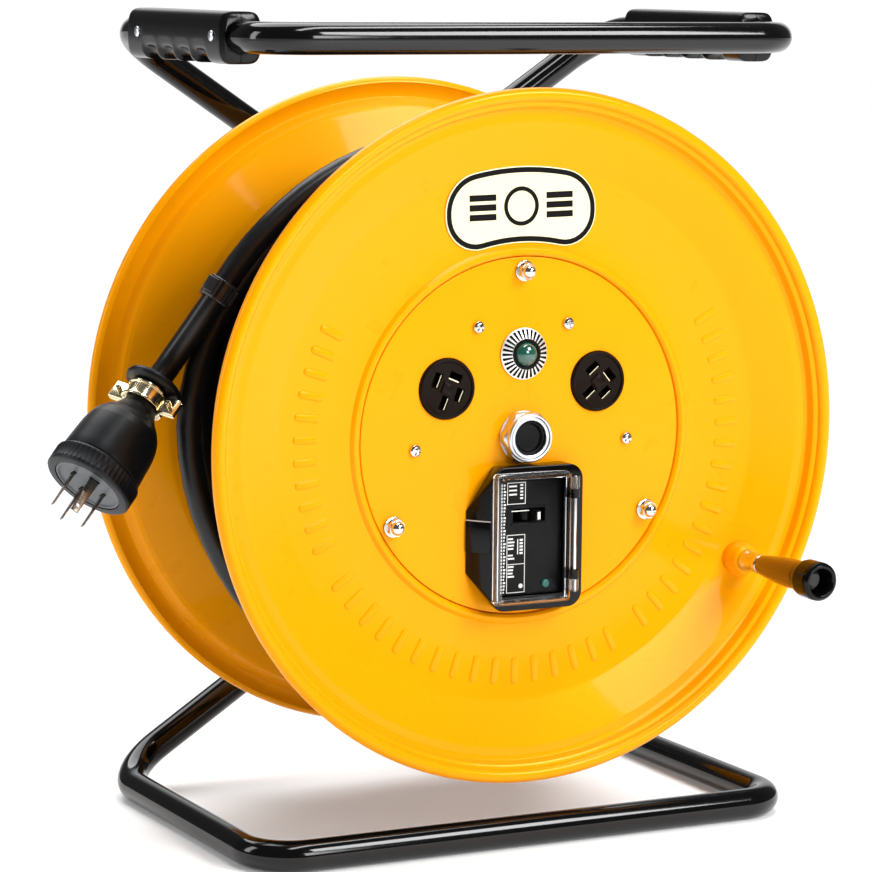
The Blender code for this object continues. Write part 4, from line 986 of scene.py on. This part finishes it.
def plate_outline(inset):
    """The name plate's outline: two arcs round the axle with rounded corners, moved in by inset."""
    half, low, high = PLATE_HALF - inset, PLATE_LOW + inset, PLATE_HIGH - inset
    low_round, high_round = (corner - inset for corner in PLATE_CORNERS)
    low_x, high_x = half - low_round, half - high_round
    low_y = math.sqrt((low + low_round) ** 2 - low_x ** 2)
    high_y = math.sqrt((high - high_round) ** 2 - high_x ** 2)
    low_turn = math.degrees(math.atan2(low_y, low_x))
    high_turn = math.degrees(math.atan2(high_y, high_x))
    right = arc((0.0, 0.0), low, 90, low_turn, 12)[1:]
    right += arc((low_x, low_y), low_round, low_turn - 180, 0, 10)[1:]
    right += arc((high_x, high_y), high_round, 0, high_turn, 12)
    right += arc((0.0, 0.0), high, high_turn, 90, 10)[1:-1]
    return [(0.0, low)] + right + [(0.0, high)] + [(-x, y) for x, y in reversed(right)]


def name_plate():
    """Cream plate with a black border and a plain ring and bars."""
    seat = Seat("name_plate")
    turned = at(turn=PLATE_TURN)
    piece("name_plate_enamel", plate([plate_outline(0.0)], seat.back, seat.front, 0.0003), "drum",
          CREAM, turned, ("name_plate",))
    low, high = seat.front - PRINT_DEPTH, seat.front + PRINT_HEIGHT
    border = plate([plate_outline(0.0007), plate_outline(0.0038)[::-1]], low, high)
    piece("name_plate_border", border, "drum", PRINT_BLACK, turned)
    middle = (PLATE_LOW + PLATE_HIGH) / 2 - 0.0010
    ring = plate([circle(0.0118, 72, (0.0, middle)), circle(0.0092, 72, (0.0, middle))[::-1]], low, high)
    bars = []
    for x in (-0.0260, 0.0260):
        for y in (middle - 0.0058, middle, middle + 0.0058):
            bars.append(block((x - 0.0090, y - 0.0019, low), (x + 0.0090, y + 0.0019, high)))
    piece("name_plate_motif", joined(ring, *bars), "drum", PRINT_BLACK, turned)


name_plate()


# ---------------------------------------------------------------- breaker

def axis_of(joint):
    """A joint's place in the local frame."""
    return SPACE.inverted() @ Vector(JOINTS[joint]["pos_m"])


FACE_OUT = -0.0075
HOUSING_OUT = -0.005
HINGE = axis_of("cover_hinge")
LEVER = axis_of("lever_toggle")


def hull(points, soft):
    """The convex solid round some points, with its edges rounded."""
    shape = bmesh.new()
    for point in points:
        shape.verts.new(point)
    made = bmesh.ops.convex_hull(shape, input=shape.verts)
    loose = set(made["geom_unused"] + made["geom_interior"])
    spare = [vert for vert in loose if isinstance(vert, bmesh.types.BMVert)]
    bmesh.ops.delete(shape, geom=spare, context="VERTS")
    bmesh.ops.dissolve_limit(shape, angle_limit=math.radians(1), verts=shape.verts, edges=shape.edges)
    edges = [edge for edge in shape.edges if edge.calc_face_angle(0) > math.radians(20)]
    bmesh.ops.bevel(shape, geom=edges, offset=soft, segments=3, profile=0.5, affect="EDGES",
                    clamp_overlap=True)
    return shape


def hinge_part(loop, spans):
    """Flat parts of one outline round the hinge's axis, one for each span of height."""
    return joined(*[moved(plate([loop], low, high), at(HINGE.x, 0.0, HINGE.z, -math.pi / 2, "X"))
                    for low, high in spans])


def breaker_housing():
    """Black surround: a rounded front, sloping left side with a tab and a painted highlight line along it,
    and two hinge legs.
    """
    base = Seat("socket_panel").front + GAP
    front = HOUSING_OUT
    loop = rectangle((-0.0276, -0.1042), (0.0347, -0.0166), 0.0095, 8)
    points = [(x, y, front) for x, y in loop] + [(x, y, base) for x, y in loop if x > 0]
    points += [(x, y, base) for x, y in ((-0.0200, -0.0174), (-0.0382, -0.0437), (-0.0382, -0.0811),
                                         (-0.0200, -0.1030))]
    item = piece("breaker_housing_shell", hull(points, 0.0007), "drum", GLOSS,
                 nodes=("breaker_housing",))
    cut(item, block((-0.0218, -0.0953, -0.03), (0.0218, -0.0247, 0.01)))
    tab = ((-0.0279, front - 0.0012), (-0.0379, base + 0.0004), (-0.0386, base + 0.0010),
           (-0.0286, front - 0.0004))
    piece("breaker_housing_tab", hull([(x, y, z) for y in (-0.0495, -0.0683) for x, z in tab], 0.00025),
          "drum", GLOSS)
    # A thin pale strip along the tab's top edge: a painted highlight line for the light caught on that edge,
    # not a real seam.
    highlight_line = ((-0.0276, front - 0.0008), (-0.0379, base + 0.0004), (-0.0383, base + 0.0009),
            (-0.0282, front - 0.0003))
    piece("breaker_housing_painted_highlight", hull([(x, y, z) for y in (-0.0486, -0.0492) for x, z in highlight_line], 0.0001),
          "drum", PAINTED_HIGHLIGHT)
    leg = arc((0.0, 0.0), 0.0026, 180, 360, 17) + [(0.0026, 0.0046), (-0.0026, 0.0046)]
    legs = hinge_part(leg, ((-0.0370, -0.0315), (-0.0865, -0.0810)))
    piece("breaker_hinge_legs", legs, "drum", GLOSS)


# Blank print on the breaker's face, as bars of low x, low y, high x, high y: lines, then short dashes.
PRINT_LINES = ((-0.0088, -0.0700, -0.0082, -0.0608), (-0.0160, -0.0762, -0.0035, -0.0758),
               (-0.0130, -0.0440, 0.0040, -0.0434))
PRINT_BOXES = ((-0.0160, -0.0395, -0.0035, -0.0262), (-0.0160, -0.0935, -0.0035, -0.0580))
BOX_LINE = 0.0004
LONG_DASHES = (-0.0290, -0.0315, -0.0340)
SHORT_DASHES = (-0.0285, -0.0305, -0.0325, -0.0345, -0.0365)
LIST_DASHES = (-0.0610, -0.0630, -0.0650, -0.0670, -0.0710, -0.0730, -0.0780, -0.0800, -0.0820, -0.0840)
MARK_ROWS, MARK_PITCH, MARK_START = 34, 0.00198, -0.0935


def print_bars():
    """Every bar of the print, in order of drawing."""
    bars = []
    for row in range(MARK_ROWS):
        low = MARK_START + MARK_PITCH * row
        bars.append((-0.0206, low, -0.0196 + 0.0009 * (row * 7 % 3) / 2, low + 0.0013))
        bars.append((-0.0184, low, -0.0176 + 0.0008 * (row * 5 % 4) / 3, low + 0.0011))
    for x0, y0, x1, y1 in PRINT_BOXES:
        bars += [(x0, y1 - BOX_LINE, x1, y1), (x0, y0, x1, y0 + BOX_LINE),
                 (x1 - BOX_LINE, y0 + BOX_LINE, x1, y1 - BOX_LINE),
                 (x0, y0 + BOX_LINE, x0 + BOX_LINE, y1 - BOX_LINE)]
    bars += [(-0.0148, y, -0.0095, y + 0.0010) for y in LONG_DASHES]
    bars += [(-0.0072, y, -0.0052, y + 0.0011) for y in SHORT_DASHES]
    bars += [(-0.0152, y, -0.0118 + 0.0010 * (row * 3 % 4) / 3, y + 0.0010)
             for row, y in enumerate(LIST_DASHES)]
    bars += [(-0.0072, -0.0700 + 0.0020 * row, -0.0050, -0.0688 + 0.0020 * row) for row in range(5)]
    return bars + list(PRINT_LINES)


def breaker_face():
    """Breaker front: moulded face, blank print, lever guide and a well for the test button."""
    shape = block((-0.0215, -0.0950, -0.0180), (0.0215, -0.0250, FACE_OUT), 0.0004)
    item = piece("breaker_face", shape, "drum", PLASTIC, nodes=("breaker_body",))
    button = Seat("test_button")
    x, y = LEVER.x, LEVER.y
    cut(item, block((x - 0.0110, y - 0.0042, -0.0175), (x + 0.0110, y + 0.0042, 0.0)))
    cut(item, lathe([(0.0, 0.0), (0.0030, 0.0), (0.0030, -0.013), (0.0, -0.013)], 32), at(button.x, button.y))
    for name, low in (("rail_top", 0.0046), ("rail_bottom", -0.0056)):
        rail = block((x - 0.0120, y + low, FACE_OUT - 0.0002),
                     (x + 0.0120, y + low + 0.0010, FACE_OUT + 0.0008), 0.0002)
        piece(f"breaker_{name}", rail, "drum", PLASTIC)
    thin = 0.00006
    low, high = FACE_OUT - thin, FACE_OUT + thin
    bars = [block((x0, y0, low), (x1, y1, high)) for x0, y0, x1, y1 in print_bars()]
    dot = moved(lathe([(0.0, high), (0.0014, high), (0.0014, low), (0.0, low)], 24), at(-0.0062, -0.0895))
    piece("breaker_print", joined(*bars, dot), "drum", PRINT_WHITE)


def breaker_lever():
    """Tipping lever on its round root, and the small test button beside it."""
    lean = Matrix.Rotation(math.radians(20), 4, "Y")
    barrel = [(0.0, 0.0036), (0.0052, 0.0036), (0.0052, -0.0036), (0.0, -0.0036)]
    root = moved(lathe(rounded(barrel, 0.0004), 40), at(turn=math.pi / 2, axis="X"))
    handle = moved(block((-0.0022, -0.0034, 0.0), (0.0022, 0.0034, 0.0122), 0.0006, 3), lean)
    place = at(*LEVER)
    piece("breaker_lever_toggle", joined(root, handle), "lever", PLASTIC, place,
          ("breaker_lever",))
    mark = moved(block((-0.0013, -0.0022, 0.01215), (0.0013, 0.0022, 0.01226)), lean)
    piece("breaker_lever_mark", mark, "lever", PRINT_WHITE, place)
    button = Seat("test_button")
    front, back = button.front, button.back
    profile = [(0.0, front - 0.0003), (0.0018, front), (0.0025, front - 0.0004), (0.0026, front - 0.0010),
               (0.0026, back), (0.0, back)]
    piece("test_button_cap", lathe(rounded(profile, 0.0002), 32), "button", GREEN_MATT,
          at(button.x, button.y), ("test_button",))


def breaker_cover():
    """Clear lid: a bevelled tray with two knuckles along its hinge side, and the pin through them."""
    cover = Seat("breaker_cover")
    x0, x1 = -0.0272, 0.0242
    y0, y1 = cover.bottom, cover.top
    back, front = cover.back, 0.003
    wall = 0.0015
    outer = [[(x, y, z) for x, y in rectangle((x0 + s, y0 + s), (x1 - s, y1 - s), 0.0022, 4)]
             for z, s in ((back, 0.0), (front - 0.0030, 0.0002), (front - 0.0003, 0.0026), (front, 0.0030))]
    inner = [[(x, y, z) for x, y in rectangle((x0 + s, y0 + s), (x1 - s, y1 - s), 0.0016, 4)]
             for z, s in ((front - wall, 0.0034), (front - wall - 0.0004, 0.0030),
                          (front - wall - 0.0020, wall + 0.0004), (back, wall))]
    lid = welded(loft(outer + inner + [outer[0]], caps=False))
    bmesh.ops.holes_fill(lid, edges=[edge for edge in lid.edges if edge.is_boundary], sides=0)
    loop = arc((0.0, 0.0), 0.0026, 180, 360, 17) + [(0.0026, 0.0030), (-0.0026, 0.0030)]
    loop = [(-y, x * 0.85) for x, y in loop]
    lid = joined(lid, hinge_part(loop, ((-0.0312, -0.0240), (-0.0940, -0.0868))))
    piece("breaker_lid", lid, "cover", CLEAR, nodes=("breaker_cover",), sharp=25)
    pin = Seat("cover_pin")
    rod = rounded([(0.0, pin.top), (0.0010, pin.top), (0.0010, pin.bottom), (0.0, pin.bottom)], 0.0003)
    piece("cover_pin_rod", moved(lathe(rod, 24), at(turn=-math.pi / 2, axis="X")), "drum",
          CHROME, at(HINGE.x, 0.0, HINGE.z), ("cover_pin",))


breaker_housing()
breaker_face()
breaker_lever()
breaker_cover()


# ---------------------------------------------------------------- crank

def crank():
    """Bright ferrule, brown turned grip and black cap on the crank's bolt."""
    spindle, ferrule, grip, cap = (Seat(f"crank_{part}") for part in ("spindle", "ferrule", "grip", "cap"))
    place = at(spindle.x, spindle.y)
    top = ferrule.front
    foot = ferrule.back
    chrome = [(0.0033, top), (0.0056, top), (0.0060, top - 0.0010), (0.0064, 0.0088), (0.0060, 0.0060),
              (0.0062, 0.0), (0.0070, -0.0024), (0.0072, foot), (0.0033, foot)]
    piece("crank_ferrule_sleeve", lathe(rounded(chrome, 0.0006, True), 64, True), "drum",
          CHROME, place, ("crank_ferrule",))
    back, front = grip.back, grip.front
    barrel = [(0.0031, back), (0.0054, back), (0.0062, back + 0.0012), (0.0070, back + 0.0060),
              (0.0076, 0.0240), (0.0086, 0.0340), (0.0092, front - 0.0140), (0.0093, front - 0.0040),
              (0.0088, front - 0.0008), (0.0078, front), (0.0031, front)]
    piece("crank_grip_barrel", lathe(rounded(barrel, 0.0012, True), 64, True), "crank",
          BROWN, place, ("crank_grip",))
    back, front = cap.back, cap.front
    floor = spindle.front - 0.0045
    shell = [(0.0031, floor), (0.0066, floor), (0.0074, front - 0.0024), (0.0086, front - 0.0002),
             (0.0100, front), (0.0116, front - 0.0016), (0.0120, front - 0.0036), (0.0120, back + 0.0046),
             (0.0110, back + 0.0008), (0.0096, back), (0.0031, back)]
    piece("crank_cap_knob", lathe(rounded(shell, 0.0008, True), 64, True), "crank",
          GLOSS, place, ("crank_cap",))
    tip = spindle.front
    corner = 0.0046
    bolt = hex_rings(corner, ((tip - 0.0042, corner), (tip - 0.0008, corner), (tip, 0.0040)), 48, 30)
    stem = lathe([(0.0, tip - 0.0040), (0.0029, tip - 0.0040), (0.0029, BOSS_BACK - GAP),
                  (0.0060, BOSS_BACK - GAP), (0.0060, spindle.back), (0.0, spindle.back)], 32)
    piece("crank_bolt", joined(stem, loft(bolt)), "drum", TUBE_BLACK, place,
          ("crank_spindle",))


crank()


# ---------------------------------------------------------------- plug and band tie

PLUG_FACE = PLUG_NECK + PLUG_AXIS * PLUG_LENGTH
PLUG_TURN = math.radians(-13.6)
CLAMP_TURN = math.radians(-58.0)
PLUG_AHEAD = Matrix.LocRotScale(PLUG_FACE, (-PLUG_AXIS).to_track_quat("Z", "Y"), None)
PLUG_PLACE = PLUG_AHEAD @ at(turn=PLUG_TURN)
CLAMP_PLACE = PLUG_AHEAD @ at(turn=CLAMP_TURN)
BLADE_R = 0.0111
BLADE_LENGTH = 0.0222
BLADE_HALF = (0.0034, 0.0008)
BLADE_SLIT = 0.0004
COLLAR_R = 0.0282
COLLAR_RIBS = 54


def cord_piece(name, shape, paint, place, nodes=(), sharp=SHARP):
    """A piece that belongs to the cord's end."""
    item = piece(name, shape, "drum", paint, place, nodes, sharp)
    return item


def plug():
    """Rubber bell, ribbed collar, grey face and four blades; local +Z runs back up the cord."""
    neck = PLUG_LENGTH
    bell = [(0.0, neck), (0.0080, neck), (0.0172, neck), (0.0186, neck - 0.0010), (0.0190, neck - 0.0028),
            (0.0184, neck - 0.0046), (0.0112, neck - 0.0062), (0.0105, neck - 0.0075), (0.0105, 0.0632),
            (0.0112, 0.0606), (0.0126, 0.0578), (0.0150, 0.0544), (0.0186, 0.0506), (0.0216, 0.0462),
            (0.0236, 0.0410), (0.0247, 0.0350), (0.0253, 0.0270), (0.0258, 0.0200), (0.0262, 0.0135),
            (0.0, 0.0135)]
    cord_piece("plug_bell", lathe(rounded(bell, 0.0012), 96), PLUG_RUBBER, PLUG_PLACE,
               ("plug_body",))
    steps = 4 * COLLAR_RIBS
    outer = COLLAR_R
    top, bore = 0.0132, 0.0222
    rings = []
    for height, size, depth in ((top, outer - 0.0012, 0.0), (0.0122, outer - 0.0002, 0.0),
                                (0.0112, outer, 0.0002), (0.0105, outer, 0.0007), (0.0034, outer, 0.0007),
                                (0.0026, outer, 0.0002), (0.0012, outer - 0.0001, 0.0),
                                (0.0003, outer - 0.0009, 0.0), (0.0, outer - 0.0018, 0.0), (0.0, bore, 0.0),
                                (top, bore, 0.0), (top, outer - 0.0012, 0.0)):
        ring = []
        for i in range(steps):
            groove = depth * (0.5 - 0.5 * math.cos(2 * math.pi * i * COLLAR_RIBS / steps))
            ring.append((*polar(size - groove, 360 * i / steps), height))
        rings.append(ring)
    cord_piece("plug_collar_ring", welded(loft(rings, caps=False)), PLUG_RUBBER,
               PLUG_PLACE, ("plug_collar",), 40)
    face = [(0.0, 0.0014), (0.0195, 0.0014), (0.0205, 0.0004), (0.0219, 0.0004), (0.0219, top), (0.0, top)]
    disc = cord_piece("plug_face_disc", lathe(rounded(face, 0.0004), 72), GREY, PLUG_PLACE,
                      ("plug_face",))
    spots = ((BLADE_R, 0.0, False), (-BLADE_R, 0.0, False), (0.0, BLADE_R, True), (0.0, -BLADE_R, False))
    for index, (x, y, wide) in enumerate(spots, 1):
        across, along = BLADE_HALF if wide else BLADE_HALF[::-1]
        slit_x, slit_y = across + BLADE_SLIT, along + BLADE_SLIT
        cut(disc, block((x - slit_x, y - slit_y, -0.002), (x + slit_x, y + slit_y, 0.008)), PLUG_PLACE)
        blade = block((x - across, y - along, -BLADE_LENGTH), (x + across, y + along, 0.0075), 0.0003)
        for vert in blade.verts:
            if vert.co.z < -BLADE_LENGTH + 0.0015:
                vert.co.x = x + (vert.co.x - x) * (0.72 if wide else 0.6)
                vert.co.y = y + (vert.co.y - y) * (0.6 if wide else 0.72)
        item = cord_piece(f"plug_contact_{index}", blade, BLADE, PLUG_PLACE,
                          (f"plug_blade_{index}",))
        if wide:
            hole = lathe([(0.0, -0.004), (0.0011, -0.004), (0.0011, 0.004), (0.0, 0.004)], 24)
            cut(item, moved(hole, at(x, y, -BLADE_LENGTH + 0.0045, math.pi / 2, "X")), PLUG_PLACE)


def clamp():
    """Two brass half rings with ears round the plug's neck, and their two screws."""
    low, high = 0.0628, 0.0738
    for index, side in enumerate((1, -1), 1):
        ring = arc((0.0, 0.0), 0.0130, 8, 172, 24)
        bore = arc((0.0, 0.0), 0.0108, 180, 0, 24)
        points = [(0.0228, 0.0024), (0.0134, 0.0024)] + ring + [(-0.0134, 0.0024), (-0.0228, 0.0024),
                                                               (-0.0240, 0.0014), (-0.0240, GAP)]
        points += bore + [(0.0240, GAP), (0.0240, 0.0014)]
        points = [(x, side * y) for x, y in points]
        shape = plate([points if side > 0 else points[::-1]], low, high, 0.0006)
        lip = [(0.0108, low), (0.0142, low), (0.0142, low + 0.0016), (0.0130, low + 0.0020),
               (0.0130, high - 0.0020), (0.0142, high - 0.0016), (0.0142, high), (0.0108, high)]
        band = lathe(rounded(lip, 0.0004, True, 3), 96, True)
        spare = [vert for vert in band.verts if vert.co.y * side < 0.0010 or abs(vert.co.x) > 0.0128]
        bmesh.ops.delete(band, geom=spare, context="VERTS")
        cord_piece(f"cord_clamp_{index}_strap", joined(shape, band), BRASS, CLAMP_PLACE,
                   (f"cord_clamp_{index}",))
    for index, x in enumerate((-0.0185, 0.0185), 1):
        place = CLAMP_PLACE @ at(x, 0.0, (low + high) / 2, math.pi / 2, "X")
        head = 0.0029
        profile = [(0.0, head + 0.0026), (0.0024, head + 0.0025), (0.0037, head + 0.0016),
                   (0.0041, head + 0.0006), (0.0041, head), (0.0016, head), (0.0016, -0.0058), (0.0, -0.0058)]
        item = cord_piece(f"clamp_screw_{index}_head", lathe(rounded(profile, 0.0004), 40),
                          BRASS, place, (f"clamp_screw_{index}",))
        slot = block((-0.0060, -0.0005, head + 0.0013), (0.0060, 0.0005, head + 0.005))
        cut(item, slot, place @ at(turn=math.radians(55)))


BAND_SHIFT = 0.0050
BAND_THICK = 0.0021
BAND_RIBS = 16
BAND_STEPS = 160
BUCKLE_TOWARD = (-0.62, 0.42, 0.66)


def band_tie():
    """Ribbed band round the free end, with its small buckle."""
    route = tail_points()
    index = len(TAIL_ANGLES) - 1
    along = (route[index + 1] - route[index - 1]).normalized()
    place = Matrix.LocRotScale(route[index] + along * BAND_SHIFT, along.to_track_quat("Z", "Y"), None)
    inner = CORD_R + 2 * GAP
    outer = inner + BAND_THICK
    rings = []
    for height, size, depth in ((0.0066, inner, 0.0), (0.0066, outer - 0.0004, 0.0), (0.0062, outer, 0.0),
                                (0.0050, outer, 0.0), (0.0047, outer, 0.0013), (-0.0047, outer, 0.0013),
                                (-0.0050, outer, 0.0), (-0.0062, outer, 0.0),
                                (-0.0066, outer - 0.0004, 0.0), (-0.0066, inner, 0.0)):
        ring = []
        for i in range(BAND_STEPS):
            window = 1.0 if (i * BAND_RIBS / BAND_STEPS) % 1.0 < 0.6 else 0.0
            ring.append((*polar(size - depth * window, 360 * i / BAND_STEPS), height))
        rings.append(ring)
    cord_piece("band_tie", welded(loft(rings + [rings[0]], caps=False)), BAND, place,
               ("cord_strap",))
    out = place.inverted().to_3x3() @ Vector(BUCKLE_TOWARD)
    buckle = joined(block((outer - 0.0008, -0.0044, -0.0062), (outer + 0.0026, 0.0044, 0.0062), 0.0008, 3),
                    block((outer + 0.0022, -0.0026, -0.0048), (outer + 0.0040, 0.0050, 0.0048), 0.0008, 3))
    cord_piece("band_tie_buckle", buckle, BAND, place @ at(turn=math.atan2(out.y, out.x)))


plug()
clamp()
band_tie()


# ---------------------------------------------------------------- carried-over nodes

def repaint(node, paint):
    """Give a CAD node that stays its finish."""
    item = frame["nodes"][node]
    item.data.materials.clear()
    item.data.materials.append(paint)
    item.data.shade_smooth()
    item.data.set_sharp_from_angle(angle=math.radians(35))


repaint("drum_core", YELLOW)
repaint("rear_bush", NYLON)
for index in (1, 2, 3):
    repaint(f"tie_rod_{index}", ZINC)
